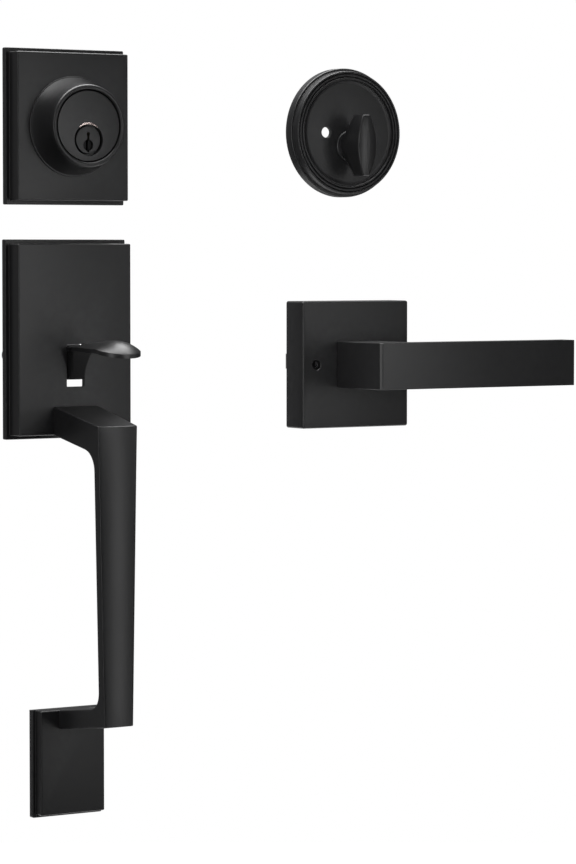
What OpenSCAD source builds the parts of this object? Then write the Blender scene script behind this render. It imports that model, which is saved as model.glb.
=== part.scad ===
// Entry door handleset laid out as one set
// X runs to the right, Z runs up and the fronts of all pieces face -Y.
// The door plane is Y = 0 and the origin is the centre of the escutcheon's back.

/* [Set layout] */
// Height of the deadbolt and thumbturn above the escutcheon's centre
bolt_z = 105.5; // [98:0.5:130]
// Distance between the outside column and the inside column
column_gap = 166; // [140:1:220]
// Height of the lever axis relative to the escutcheon's centre
lever_z = -15.2; // [-40:0.1:10]

/* [Deadbolt plate] */
// Width of the plate's front face
bolt_plate_w = 62.8; // [60:0.2:70]
// Height of the plate's front face
bolt_plate_h = 73.2; // [70:0.2:80]
// Distance from the door to the plate's front face
bolt_plate_d = 11.7; // [10.5:0.1:13]
// How far the rear step stands out on every side
step_out = 2.1; // [1.2:0.1:2.6]
// Thickness of the rear step
step_d = 3.3; // [2.4:0.1:4]
// Wall thickness of the hollow plates
wall = 2.6; // [2:0.1:3]
// Chamfer on the front edges of the plates
edge = 0.5; // [0.3:0.1:0.8]

/* [Cylinder] */
// Radius of the collar where it meets the plate
collar_base_r = 24.9; // [23.5:0.1:27]
// Outer radius of the collar's rim
collar_rim_r = 20.4; // [20.1:0.1:21.5]
// Distance from the door to the front of the collar's rim
collar_front = 28; // [27:0.1:32]
// Radius of the cylinder's round face
face_r = 17.5; // [17.2:0.1:17.6]
// Radius of the turning plug
plug_r = 7; // [6.5:0.1:7.2]
// Radial running clearance of the turning shafts
run_gap = 0.05; // [0.03:0.01:0.08]
// Distance of the plug and thumbturn axis below the cylinder's centre
axis_drop = 6.9; // [6.4:0.1:7.4]
// Width of the keyway
keyway_w = 1.2; // [1:0.1:1.6]
// Number of pin chambers
pin_count = 5; // [4:1:5]
// Distance between pin chambers
pin_pitch = 3.8; // [3.5:0.1:4]
// Radius of the pins
pin_r = 1.35; // [1.2:0.05:1.4]
// Half distance between the two cylinder fixing screws
bolt_screw_x = 13.5; // [13:0.1:14]
// Tapping radius of the fixing threads
tap_r = 1.9; // [1.6:0.1:2]
// How far the tailpiece reaches behind the door plane
tail_reach = 50; // [30:1:60]

/* [Escutcheon] */
// Width of the escutcheon's front face
plate_w = 64; // [63:0.5:70]
// Height of the escutcheon's front face
plate_h = 95; // [92:0.5:110]
// Distance from the door to the escutcheon's front face
plate_d = 12.9; // [12:0.1:14]
// Width of the thumbpiece slot
slot_w = 11; // [10.6:0.1:12]
// Height of the top of the slot
slot_top = -2.4; // [-2.6:0.1:1]
// Height of the bottom of the slot
slot_bottom = -24; // [-28:0.5:-23]
// Half distance between the two fixing posts
post_x = 24.5; // [23.5:0.1:24.6]
// Radius of the fixing posts
post_r = 4.2; // [3.6:0.1:4.3]
// Height of the fixing posts and the latch axis
latch_z = -8; // [-12:0.5:-5]
// Reach of the fixing posts behind the door plane
post_reach = 11; // [8:1:25]

/* [Thumbpiece] */
// Distance from the door to the tip of the thumbpiece
thumb_reach = 66; // [60:0.5:72]
// Width of the thumb paddle
thumb_w = 23; // [20:0.5:26]
// Thickness of the thumb paddle
thumb_t = 2; // [1.6:0.1:2.6]
// Radius of the paddle's crown
thumb_crown_r = 18.4; // [17.6:0.2:22]
// Rise of the paddle from the plate to its crown in degrees
thumb_rise = 5; // [3:0.5:7]
// Width of the neck that passes through the slot
neck_w = 8.4; // [7.6:0.1:9]
// Radius of the pivot pin
pivot_r = 1.5; // [1.2:0.1:1.8]
// Reach of the thumb tail behind the door plane
thumb_tail = 38; // [25:1:45]
// Height of the pivot bracket
bracket_h = 12; // [10:0.5:13]
// Length of the pivot bracket's feet
bracket_foot = 10; // [9:0.1:10]

/* [Grip] */
// Distance from the door to the front of the grip
grip_reach = 56; // [50:0.5:65]
// Thickness of the grip bar
grip_t = 6; // [5:0.1:9]
// Width of the grip at its top
grip_top_w = 22; // [20:0.2:24]
// Width of the grip at its bottom
grip_bottom_w = 16.4; // [14:0.2:20]
// Width of the upper arm at the escutcheon
arm_root_w = 25; // [24:0.2:28]
// Height of the upper arm at the escutcheon
arm_h = 14.3; // [12:0.1:15]
// Height of the grip from its front top edge to its front bottom edge
grip_len = 147.5; // [130:0.5:180]
// Fall of the upper arm from the escutcheon to the front
arm_fall = 8.5; // [6:0.1:11]
// Height of the lower arm at the foot plate
foot_arm_h = 9.4; // [8:0.1:11]
// Rise of the lower arm from the foot plate to the front
foot_arm_rise = 5.6; // [3:0.1:7]
// Radius of the grip's inner corners
grip_inner_r = 10; // [6:0.5:14]
// Radius of the crowned front of the grip
crown_r = 54; // [45:1:80]

/* [Foot plate] */
// Width of the foot plate's front face
foot_w = 36.3; // [32:0.1:42]
// Height of the foot plate's front face
foot_h = 52.5; // [48:0.5:60]
// Distance from the door to the foot plate's front face
foot_d = 9.2; // [8.5:0.1:11]
// How far the foot plate's rear step stands out
foot_step = 1.6; // [1:0.1:2]

/* [Thumbturn] */
// Outer radius of the round rose
rose_r = 33.6; // [32:0.1:36]
// Distance from the door to the front ring of the rose
rose_d = 9.5; // [8.6:0.1:11]
// Length of the thumbturn
turn_len = 31.5; // [28:0.5:36]
// Width of the thumbturn at its middle
turn_w = 11.2; // [9:0.1:13]
// Distance from the door to the front of the thumbturn
turn_front = 27; // [24:0.5:32]
// Radius of the thumbturn's shaft
turn_shaft_r = 6.5; // [6:0.1:6.8]

/* [Lever] */
// Side of the square lever rose
lever_rose = 66; // [62:0.5:72]
// Distance from the door to the front of the lever rose
lever_rose_d = 15.7; // [15:0.1:17]
// Height and width of the square lever neck
lever_h = 24; // [22:0.5:26]
// Length of the lever
lever_len = 124; // [100:1:140]
// Thickness of the lever bar
lever_t = 11; // [8:0.5:14]
// Distance from the door to the front of the lever
lever_reach = 56.5; // [50:0.5:66]
// Radius of the lever's round hub
hub_r = 10; // [9:0.1:10.5]
// Side of the square spindle
spindle_a = 8; // [7:0.1:8.4]
// Reach of the spindle behind the door plane
spindle_reach = 46; // [30:1:60]
// Diameter of the return spring's wire
lever_wire = 1.4; // [1:0.1:1.6]

/* [Hidden] */
$fn = 64;
e = 0.01;
bolt_face = collar_front - 1;
plug_face = bolt_face - 0.4;
mouth_r = plug_r + 0.65;
flange_r = plug_r + 0.35;
housing_back = 4;
cap_t = 2.7;
chamber_r = pin_r + 0.1;
pin_first = 6;
key_pin_low = 0.6;
driver_h = 4.8;
spring_h = 4.6;
tail_w = 6;
tail_t = 1.6;
plate_in = plate_d - wall;
pivot_y = -6.3;
pivot_z = -5;
barrel_r = pivot_r + 1.7;
crown_y = thumb_reach - 14;
crown_z = 0.2;
ear_x = 9;
ear_t = 1.5;
ear_screw_x = ear_x + 0.55 * bracket_foot;
post_flange_r = plate_w / 2 - wall - post_x - 0.1;
grip_top = -33.2;
grip_back = grip_reach - grip_t;
front_top = grip_top - arm_fall;
front_bottom = front_top - grip_len;
foot_arm_bottom = front_bottom - foot_arm_rise;
foot_arm_top = foot_arm_bottom + foot_arm_h;
foot_top = foot_arm_top;
foot_z = foot_top - foot_h / 2;
foot_in = foot_d - wall;
top_slope = arm_fall / (grip_reach - plate_d);
low_slope = foot_arm_rise / (grip_reach - foot_d);
grip_screw_x = 6;
grip_screw_z = grip_top - arm_h / 2;
foot_screw_z = foot_arm_top - wall - 3;
foot_post_z = foot_z - 8;
rose_face = rose_d - 1.4;
rose_wall = 1.8;
clip_y = rose_face - rose_wall - 2;
lever_in = lever_rose_d - wall;
lever_screw_x = post_x;
head_r = 2.5;
head_h = 0.9;
head_deep = 1;
cage_d = 4;
tower_d = 10.6;
socket = spindle_a + 0.1;
BLACK = "#1d1d1f";
STEEL = "#8f9296";
BRASS = "#b39a5a";

// Helpers

// Extrudes a front view outline from y = -near to y = -far
module forward(near, far) {
    translate([0, -near, 0]) rotate([90, 0, 0]) linear_extrude(far - near) children();
}

// Extrudes a side view outline, drawn as y and z, over the width w
module sideways(w) {
    translate([-w / 2, 0, 0]) rotate([90, 0, 90]) linear_extrude(w) children();
}

// Turns a radius and depth outline round the Y axis
module turned() {
    rotate([90, 0, 0]) rotate_extrude() children();
}

// Round bar along Y from y = -near to y = -far
module rod(r, near, far, x = 0, z = 0, fn = 48) {
    translate([x, -near, z]) rotate([90, 0, 0]) cylinder(r = r, h = far - near, $fn = fn);
}

// Rectangle with round corners in the front view
module soft_rect(w, h, r) {
    square([w - 2 * r, h], center = true);
    square([w, h - 2 * r], center = true);
    for (i = [-1, 1], j = [-1, 1])
        translate([i * (w / 2 - r), j * (h / 2 - r)]) circle(r = r, $fn = 24);
}

// Block from y = -near to y = -far with chamfered front edges
module slab(w, h, near, far, c = edge, r = 0.6) {
    intersection() {
        forward(near, far) soft_rect(w, h, r);
        linear_extrude(h + 1, center = true)
            polygon([[-w / 2, -near], [w / 2, -near], [w / 2, -far + c],
                [w / 2 - c, -far], [-w / 2 + c, -far], [-w / 2, -far + c]]);
        sideways(w + 1)
            polygon([[-near, -h / 2], [-near, h / 2], [-far + c, h / 2],
                [-far, h / 2 - c], [-far, -h / 2 + c], [-far + c, -h / 2]]);
    }
}

// Hollow stepped cover with an open back
module stepped_cover(w, h, d, out) {
    difference() {
        union() {
            slab(w, h, 0, d);
            slab(w + 2 * out, h + 2 * out, 0, step_d);
        }
        translate([0, 1, 0]) slab(w - 2 * wall, h - 2 * wall, 0, d - wall + 1, 0.8, 1.5);
    }
}

// Wire swept along a path, with one normal and one binormal for each point
module wire(path, nrm, bin, r, sides = 6) {
    n = len(path);
    pts = [for (i = [0:n - 1], j = [0:sides - 1])
        path[i] + r * (cos(360 * j / sides) * nrm[i] + sin(360 * j / sides) * bin[i])];
    faces = concat([[for (j = [0:sides - 1]) j]],
        [for (i = [0:n - 2], j = [0:sides - 1]) let (k = (j + 1) % sides)
            [i * sides + k, i * sides + j, (i + 1) * sides + j, (i + 1) * sides + k]],
        [[for (j = [sides - 1:-1:0]) (n - 1) * sides + j]]);
    polyhedron(points = pts, faces = faces);
}

// Wound wire round the Z axis from z = 0 to z = h, with straight ends of the length leg
module coil(r, wire_r, h, turns, steps, sides = 6, leg = 0) {
    n = turns * steps;
    ang = [for (i = [0:n]) 360 * turns * i / n];
    mid = [for (i = [0:n]) [r * cos(ang[i]), r * sin(ang[i]), h * i / n]];
    out = [for (i = [0:n]) [cos(ang[i]), sin(ang[i]), 0]];
    up = [0, 0, 1];
    t0 = [-sin(ang[0]), cos(ang[0]), 0];
    t1 = [-sin(ang[n]), cos(ang[n]), 0];
    path = leg > 0 ? concat([mid[0] - leg * t0], mid, [mid[n] + leg * t1]) : mid;
    nrm = leg > 0 ? concat([out[0]], out, [out[n]]) : out;
    wire(path, nrm, [for (p = path) up], wire_r, sides);
}

// Pan head screw along Y, with its head's underside at y = -seat and its shank towards -Y
module pan_screw(r, seat, len, head_r, head_h) {
    difference() {
        union() {
            rod(r, seat - e, seat + len, fn = 32);
            rod(head_r, seat - head_h, seat, fn = 40);
        }
        translate([0, -seat + head_h, 0]) {
            cube([head_r * 1.2, 1.6, 0.9], center = true);
            cube([0.9, 1.6, head_r * 1.2], center = true);
        }
    }
}

// Places a piece on the cylinder's centre
module at_bolt() { translate([0, 0, bolt_z]) children(); }

// Places a piece on the plug's axis
module at_plug() { translate([0, 0, bolt_z - axis_drop]) children(); }

// Places a piece on the round rose's centre
module at_turn() { translate([column_gap, 0, bolt_z]) children(); }

// Places a piece on the lever's axis
module at_lever() { translate([column_gap, 0, lever_z]) children(); }

// Outside deadbolt

// Stepped square plate with a round hole for the cylinder
module deadbolt_plate() {
    color(BLACK) at_bolt() difference() {
        stepped_cover(bolt_plate_w, bolt_plate_h, bolt_plate_d, step_out);
        rod(face_r + 0.3, 0, bolt_plate_d + 1, fn = 96);
    }
}

// Flared collar with a rounded rim round the cylinder's face
module cylinder_collar() {
    base = bolt_plate_d;
    lip = base + 0.9;
    neck = collar_front - 3;
    dr = collar_base_r - 0.6 - collar_rim_r;
    dh = neck - lip;
    flare = (dh * dh + dr * dr) / (2 * dr);
    inner = face_r + 0.4;
    rim = (collar_rim_r - inner) / 2;
    color(BLACK) at_bolt() turned() {
        difference() {
            polygon([[inner, base], [collar_base_r, base], [collar_base_r, lip - 0.3],
                [collar_base_r - 0.6, lip], [collar_rim_r, neck],
                [collar_rim_r, collar_front - rim], [inner, collar_front - rim]]);
            translate([collar_rim_r + flare, neck]) circle(r = flare, $fn = 240);
        }
        translate([inner + rim, collar_front - rim]) circle(r = rim, $fn = 32);
    }
}

// Cylinder body with the plug's bore, pin chambers and two tapped holes
module cylinder_housing() {
    color(BRASS) at_bolt() difference() {
        turned() polygon([[0, -housing_back], [face_r - 0.4, -housing_back], [face_r - 0.4, 13],
            [face_r, 13], [face_r, bolt_face - 0.4], [face_r - 0.4, bolt_face], [0, bolt_face]]);
        translate([0, 0, -axis_drop]) {
            rod(plug_r + run_gap, -housing_back - 1, bolt_face + 1, fn = 96);
            rod(mouth_r, bolt_face - 1.4, bolt_face + 1, fn = 96);
            for (i = [0:pin_count - 1])
                translate([0, -pin_first - i * pin_pitch, plug_r - 0.6])
                    cylinder(r = chamber_r, h = driver_h + spring_h + 1.2, $fn = 32);
        }
        for (s = [-1, 1])
            rod(tap_r, -housing_back - 1, 8, s * bolt_screw_x, fn = 40);
    }
}

// Turning plug with the keyway, its dished mouth and the lower pin chambers
module cylinder_plug() {
    color(BLACK) at_plug() difference() {
        union() {
            rod(plug_r, -housing_back - 0.3, plug_face - 0.5, fn = 96);
            rod(flange_r, plug_face - 0.7, plug_face, fn = 96);
            rod(plug_r - 1, -housing_back - 0.3 - cap_t, -housing_back, fn = 64);
        }
        translate([-keyway_w / 2, -plug_face - 1, -plug_r + 0.9])
            cube([keyway_w, plug_face + 1, plug_r + 2.2]);
        rod(keyway_w * 0.7, 0, plug_face + 1, 0, 3.1, fn = 32);
        translate([0, -plug_face - e, -2.3]) rotate([-90, 0, 0])
            cylinder(r1 = 3.1, r2 = 2.3, h = 1.1, $fn = 48);
        for (i = [0:pin_count - 1])
            translate([0, -pin_first - i * pin_pitch, key_pin_low])
                cylinder(r = chamber_r, h = plug_r, $fn = 32);
        translate([-tail_w / 2 - 0.05, housing_back - 2, -tail_t / 2 - 0.05])
            cube([tail_w + 0.1, cap_t + 4, tail_t + 0.1]);
    }
}

// Pins in the plug, lined up with its surface as by a key
module key_pins() {
    color(BRASS) at_plug() for (i = [0:pin_count - 1])
        translate([0, -pin_first - i * pin_pitch, key_pin_low + 0.02])
            cylinder(r = pin_r, h = plug_r - key_pin_low - 0.4, $fn = 24);
}

// Pins above the shear line
module driver_pins() {
    color(STEEL) at_plug() for (i = [0:pin_count - 1])
        translate([0, -pin_first - i * pin_pitch, plug_r + 0.2])
            cylinder(r = pin_r, h = driver_h, $fn = 24);
}

// Small compression springs above the driver pins
module pin_springs() {
    color(STEEL) at_plug() for (i = [0:pin_count - 1])
        translate([0, -pin_first - i * pin_pitch, plug_r + driver_h + 0.42])
            coil(pin_r - 0.25, 0.22, spring_h - 0.4, 4, 9, 5);
}

// Ring behind the housing that keeps the plug in
module plug_cap() {
    color(BRASS) at_plug() difference() {
        rod(plug_r + 1.5, -housing_back - 0.3 - cap_t, -housing_back - 0.3, fn = 64);
        rod(plug_r - 1, -housing_back - 4 - cap_t, 0, fn = 64);
    }
}

// Flat bar that turns the bolt
module tailpiece() {
    color(STEEL) at_plug() difference() {
        translate([-tail_w / 2, housing_back - 2, -tail_t / 2])
            cube([tail_w, tail_reach - housing_back + 2, tail_t]);
        for (s = [-1, 1]) translate([s * tail_w / 2, tail_reach, 0]) rotate([0, 0, 45])
            cube([1.2, 1.2, tail_t + 1], center = true);
    }
}

// Outside handle

// Stepped escutcheon with the thumbpiece slot and the screw holes
module escutcheon() {
    color(BLACK) difference() {
        stepped_cover(plate_w, plate_h, plate_d, step_out);
        forward(plate_in - 1, plate_d + 1)
            translate([0, (slot_top + slot_bottom) / 2])
                soft_rect(slot_w, slot_top - slot_bottom, 0.8);
        for (s = [-1, 1]) {
            rod(2, plate_in - 1, plate_d + 1, s * grip_screw_x, grip_screw_z, 32);
            rod(1.2, plate_in - 1, plate_in + 2, s * ear_screw_x, pivot_z, 32);
        }
    }
}

// Two tapped posts behind the escutcheon's face
module escutcheon_posts() {
    color(STEEL) for (s = [-1, 1]) difference() {
        union() {
            rod(post_r, -post_reach, plate_in, s * post_x, latch_z);
            rod(post_flange_r, plate_in - 2, plate_in, s * post_x, latch_z);
        }
        rod(tap_r, -post_reach - 1, plate_in - 4, s * post_x, latch_z, 40);
    }
}

// Dished thumb paddle with its neck, pivot barrel and tail
module thumbpiece() {
    half = thumb_w / 2;
    round_y = half - thumb_reach;
    color(BLACK) difference() {
        union() {
            // Paddle cut from a shell that is round across and at its tip
            intersection() {
                translate([0, 0, crown_z - 10]) linear_extrude(20) {
                    polygon([[-neck_w / 2, -plate_d - 0.6], [neck_w / 2, -plate_d - 0.6],
                        [half - 3.6, -28], [half, -46], [half, round_y], [-half, round_y],
                        [-half, -46], [-half + 3.6, -28]]);
                    translate([0, round_y]) circle(r = half, $fn = 96);
                }
                thumb_crown();
            }
            // Web under the paddle, narrower towards the bottom
            intersection() {
                sideways(20) polygon([[-plate_d - 7, -3.4], [-plate_d - 8, -6.5], [-plate_d - 2.6, -18.5],
                    [pivot_y, -14.5], [pivot_y, -4], [-plate_d, -3.7]]);
                forward(0, 40) polygon([[-neck_w / 2, -18.5], [neck_w / 2, -18.5],
                    [neck_w / 2 + 0.4, 0], [-neck_w / 2 - 0.4, 0]]);
            }
            translate([-neck_w / 2, pivot_y, pivot_z]) rotate([0, 90, 0])
                cylinder(r = barrel_r, h = neck_w, $fn = 48);
            // Tail that lifts the latch
            translate([-2.5, pivot_y, latch_z]) cube([5, thumb_tail - pivot_y, 3]);
        }
        // Hollow underside in front of the web
        intersection() {
            translate([0, 0, -thumb_t]) thumb_crown();
            translate([-half - 1, -thumb_reach - 1, -30])
                cube([2 * half + 2, thumb_reach - plate_d - 6.9, 40]);
        }
        // Hollow underside on both sides of the web
        for (s = [-1, 1]) intersection() {
            translate([0, 0, -thumb_t]) thumb_crown();
            translate([s * (neck_w / 2 + 5.2), -30, -10]) cube([10, 40, 30], center = true);
        }
        translate([-neck_w, pivot_y, pivot_z]) rotate([0, 90, 0])
            cylinder(r = pivot_r + run_gap, h = 2 * neck_w, $fn = 40);
    }
}

// Sloping round bar with a ball end that gives the paddle its crown
module thumb_crown() {
    translate([0, -crown_y, crown_z - thumb_crown_r]) rotate([-90 - thumb_rise, 0, 0]) rotate_extrude($fn = 160) {
        intersection() {
            circle(r = thumb_crown_r, $fn = 160);
            translate([0, -thumb_crown_r]) square([thumb_crown_r, thumb_crown_r]);
        }
        square([thumb_crown_r, 60]);
    }
}

// Bent bracket that holds the pivot pin behind the slot
module thumb_bracket() {
    color(STEEL) for (s = [-1, 1]) difference() {
        union() {
            translate([s * (ear_x + ear_t / 2), -plate_in / 2 - 0.8, pivot_z + 0.5])
                cube([ear_t, plate_in - 1.6, bracket_h], center = true);
            translate([s * (ear_x + bracket_foot / 2), -plate_in + ear_t / 2, pivot_z + 0.5])
                cube([bracket_foot, ear_t, bracket_h], center = true);
        }
        translate([s * ear_x - 3, pivot_y, pivot_z]) rotate([0, 90, 0])
            cylinder(r = pivot_r, h = 7, $fn = 40);
        rod(1.3, plate_in - 3, plate_in + 1, s * ear_screw_x, pivot_z, 32);
    }
    color(STEEL) translate([0, -1, pivot_z + 5]) cube([2 * ear_x + 2 * ear_t, ear_t, 3], center = true);
}

// Two screws that hold the bracket
module bracket_screws() {
    color(STEEL) for (s = [-1, 1]) translate([s * ear_screw_x, 0, pivot_z])
        pan_screw(1.15, plate_in - ear_t, 3.4, 2.4, 1.8);
}

// Pivot pin of the thumbpiece
module thumb_pin() {
    color(STEEL) translate([-ear_x - ear_t - 0.6, pivot_y, pivot_z]) rotate([0, 90, 0])
        cylinder(r = pivot_r, h = 2 * (ear_x + ear_t + 0.6), $fn = 40);
}

// Torsion spring on the pivot pin
module thumb_spring() {
    color(STEEL) translate([neck_w / 2 + 1.2, pivot_y, pivot_z]) rotate([0, 90, 0])
        coil(pivot_r + 0.9, 0.35, 3, 3, 16, 6, 3.2);
}

// Side view outline of the grip with its two arms, drawn as y and z
module grip_outline() {
    under_z = grip_top - arm_h;
    back = -grip_back;
    r = grip_inner_r;
    up_c = [back + r, under_z - top_slope * (grip_back - r - plate_d) - r * sqrt(1 + top_slope * top_slope)];
    low_c = [back + r, foot_arm_top + low_slope * (grip_back - r - foot_d) + r * sqrt(1 + low_slope * low_slope)];
    ta = atan(top_slope);
    tb = atan(low_slope);
    difference() {
        polygon([[-plate_d, grip_top], [-grip_reach, front_top], [-grip_reach, front_bottom],
            [-foot_d, foot_arm_bottom], [-foot_d, foot_arm_top], low_c + r * [-sin(tb), -cos(tb)],
            low_c, [back, low_c[1]], [back, up_c[1]], up_c, up_c + r * [-sin(ta), cos(ta)],
            [-plate_d, under_z]]);
        translate(up_c) circle(r = r, $fn = 96);
        translate(low_c) circle(r = r, $fn = 96);
    }
}

// Tapered pull grip with a crowned front
module pull_grip() {
    color(BLACK) difference() {
        intersection() {
            sideways(arm_root_w + 4) grip_outline();
            // Front taper from the top to the bottom
            forward(0, grip_reach + 1)
                polygon([[-arm_root_w / 2, 0], [arm_root_w / 2, 0], [arm_root_w / 2, grip_top - arm_h],
                    [grip_top_w / 2 - 0.35, front_top - 18], [grip_bottom_w / 2, front_bottom],
                    [grip_bottom_w / 2, foot_arm_bottom - 5], [-grip_bottom_w / 2, foot_arm_bottom - 5],
                    [-grip_bottom_w / 2, front_bottom], [-grip_top_w / 2 + 0.35, front_top - 18],
                    [-arm_root_w / 2, grip_top - arm_h]]);
            // Plan taper of the upper arm
            translate([0, 0, foot_arm_bottom - 10]) linear_extrude(400)
                polygon([[-arm_root_w / 2, -foot_d + 1], [-arm_root_w / 2, -plate_d],
                    [-grip_top_w / 2, -grip_reach], [grip_top_w / 2, -grip_reach],
                    [arm_root_w / 2, -plate_d], [arm_root_w / 2, -foot_d + 1]]);
            // Crowned front
            translate([0, crown_r - grip_reach, foot_arm_bottom - 10])
                cylinder(r = crown_r, h = 400, $fn = 360);
        }
        for (s = [-1, 1]) rod(tap_r, plate_d - 1, plate_d + 11, s * grip_screw_x, grip_screw_z, 32);
        rod(tap_r, foot_d - 1, foot_d + 11, 0, foot_screw_z, 32);
    }
}

// Two screws from the escutcheon into the upper arm
module grip_screws() {
    color(STEEL) for (s = [-1, 1]) translate([s * grip_screw_x, 0, grip_screw_z])
        pan_screw(tap_r - 0.05, plate_in, wall + 9, 3.4, 2.4);
}

// Stepped foot plate under the grip
module foot_plate() {
    color(BLACK) difference() {
        translate([0, 0, foot_z]) stepped_cover(foot_w, foot_h, foot_d, foot_step);
        rod(2, foot_in - 1, foot_d + 1, 0, foot_screw_z, 32);
        // Flush top under the lower arm
        translate([-foot_w, -foot_d - 1, foot_top]) cube([2 * foot_w, foot_d + 2, 10]);
    }
}

// Tapped post behind the foot plate
module foot_post() {
    color(STEEL) difference() {
        union() {
            rod(4, -10, foot_in, 0, foot_post_z);
            rod(7, foot_in - 2, foot_in, 0, foot_post_z);
        }
        rod(tap_r, -11, foot_in - 3, 0, foot_post_z, 40);
    }
}

// Screw from the foot plate into the lower arm
module foot_screw() {
    color(STEEL) translate([0, 0, foot_screw_z]) pan_screw(tap_r - 0.05, foot_in, wall + 9, 2.6, 2.2);
}

// Inside thumbturn

// Round rose with two rings, a dished face and two countersunk holes
module thumbturn_rose() {
    color(BLACK) at_turn() difference() {
        turned() difference() {
            union() {
                square([rose_r, 3]);
                square([rose_r - 0.8, 6.2]);
                square([rose_r - 2.1, rose_d - 0.8]);
                square([rose_r - 2.9, rose_d]);
                translate([rose_r - 2.9, rose_d - 0.8]) circle(r = 0.8, $fn = 24);
                translate([rose_r - 0.8, 5.4]) circle(r = 0.8, $fn = 24);
            }
            // Groove between the two rings
            translate([rose_r - 5.2, rose_d]) circle(r = 0.55, $fn = 24);
            // Dished face inside the second ring
            translate([0, rose_face]) square([rose_r - 8.4, 5]);
            translate([rose_r - 8.4, rose_d]) circle(r = rose_d - rose_face, $fn = 48);
            // Hollow back
            translate([0, -1]) square([rose_r - 3, rose_face - rose_wall + 1]);
        }
        rod(turn_shaft_r + run_gap, 0, rose_d + 1, 0, -axis_drop, 64);
        for (s = [-1, 1]) translate([s * bolt_screw_x, 0, 0]) {
            rod(2.6, 0, rose_d + 1, fn = 40);
            translate([0, -rose_face + 1.1 - e, 0]) rotate([90, 0, 0])
                cylinder(r1 = 2.6, r2 = 3.4, h = 1.2, $fn = 48);
        }
    }
}

// Turning knob with a lens shaped outline on a round hub
module thumbturn() {
    base = rose_face + 0.4;
    half = turn_len / 2;
    tip = 1.8;
    lens_r = (half * half + pow(turn_w / 2 - tip, 2)) / (2 * (turn_w / 2 - tip));
    color(BLACK) at_turn() translate([0, 0, -axis_drop]) difference() {
        union() {
            intersection() {
                forward(base, turn_front) intersection() {
                    translate([turn_w / 2 - lens_r, 0]) circle(r = lens_r, $fn = 360);
                    translate([-turn_w / 2 + lens_r, 0]) circle(r = lens_r, $fn = 360);
                    square([turn_w, turn_len], center = true);
                }
                sideways(turn_w + 2) polygon([[-base, -half * 0.4], [-base - 8, -half],
                    [-turn_front, -half], [-turn_front, half], [-base - 8, half], [-base, half * 0.4]]);
                // Slightly crowned front
                translate([-20, 90 - turn_front, 0]) rotate([0, 90, 0]) cylinder(r = 90, h = 40, $fn = 360);
            }
            rod(turn_shaft_r + 1.4, base, base + 1.6, fn = 64);
            rod(turn_shaft_r, clip_y + 0.9, base + e, fn = 64);
            rod(turn_shaft_r - 1.2, -3, clip_y + 1, fn = 48);
            rod(turn_shaft_r, clip_y - 1.2, clip_y, fn = 64);
        }
        // Slot for the tailpiece
        translate([-tail_w / 2 - 0.3, -2, -tail_t / 2 - 0.3]) cube([tail_w + 0.6, 6, tail_t + 0.6]);
    }
}

// Flat spring washer behind the rose's face
module turn_washer() {
    color(STEEL) at_turn() translate([0, 0, -axis_drop]) difference() {
        rod(turn_shaft_r + 1.6, rose_face - rose_wall - 0.8, rose_face - rose_wall, fn = 64);
        rod(turn_shaft_r + 0.3, 0, rose_d, fn = 64);
    }
}

// Snap ring that keeps the thumbturn in the rose
module turn_clip() {
    color(STEEL) at_turn() translate([0, 0, -axis_drop]) difference() {
        rod(turn_shaft_r + 1.5, clip_y, clip_y + 0.9, fn = 64);
        rod(turn_shaft_r - 1.2, 0, rose_d, fn = 48);
        translate([-1.2, -clip_y - 1.5, 0]) cube([2.4, 2, turn_shaft_r + 3]);
    }
}

// Inside lever

// Hollow square rose with the hub's hole and two screw holes
module lever_rose_cover() {
    color(BLACK) at_lever() difference() {
        slab(lever_rose, lever_rose, 0, lever_rose_d, 0.8, 1.2);
        translate([0, 1, 0])
            slab(lever_rose - 2 * wall, lever_rose - 2 * wall, 0, lever_in + 1, 0.8, 2);
        rod(hub_r + 0.3, 0, lever_rose_d + 1, fn = 96);
        for (s = [-1, 1]) {
            rod(tap_r + 0.1, 0, lever_rose_d + 1, s * lever_screw_x, fn = 40);
            rod(head_r + 0.15, lever_rose_d - head_deep - head_h, lever_rose_d + 1, s * lever_screw_x, fn = 40);
        }
    }
}

// Straight square lever with its neck and round hub
module lever_handle() {
    half = lever_h / 2;
    neck = lever_rose_d + 0.4;
    color(BLACK) at_lever() difference() {
        union() {
            intersection() {
                translate([-half, -lever_reach, -half]) cube([lever_len, lever_reach - neck, lever_h]);
                // Plan of the neck and the bar with small chamfers
                linear_extrude(lever_h + 2, center = true)
                    polygon([[-half, -neck], [half, -neck], [half, -lever_reach + lever_t + 3],
                        [half + 3, -lever_reach + lever_t], [lever_len - half, -lever_reach + lever_t],
                        [lever_len - half, -lever_reach + edge], [lever_len - half - edge, -lever_reach],
                        [-half + 1.2, -lever_reach], [-half, -lever_reach + 1.2]]);
                sideways(3 * lever_len)
                    polygon([[-neck, -half], [-neck, half], [-lever_reach + edge, half],
                        [-lever_reach, half - edge], [-lever_reach, -half + edge], [-lever_reach + edge, -half]]);
            }
            rod(hub_r, 1.9, neck + 1, fn = 96);
        }
        // Square socket and the grub screw's hole
        translate([-socket / 2, -24, -socket / 2]) cube([socket, 30, socket]);
        translate([0, -20, -half - 1]) cylinder(r = 2.5, h = half, $fn = 40);
        // Groove for the snap ring
        difference() {
            rod(hub_r + 1, 2.4, 3.4, fn = 64);
            rod(hub_r - 0.9, 0, 5, fn = 64);
        }
    }
}

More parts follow.
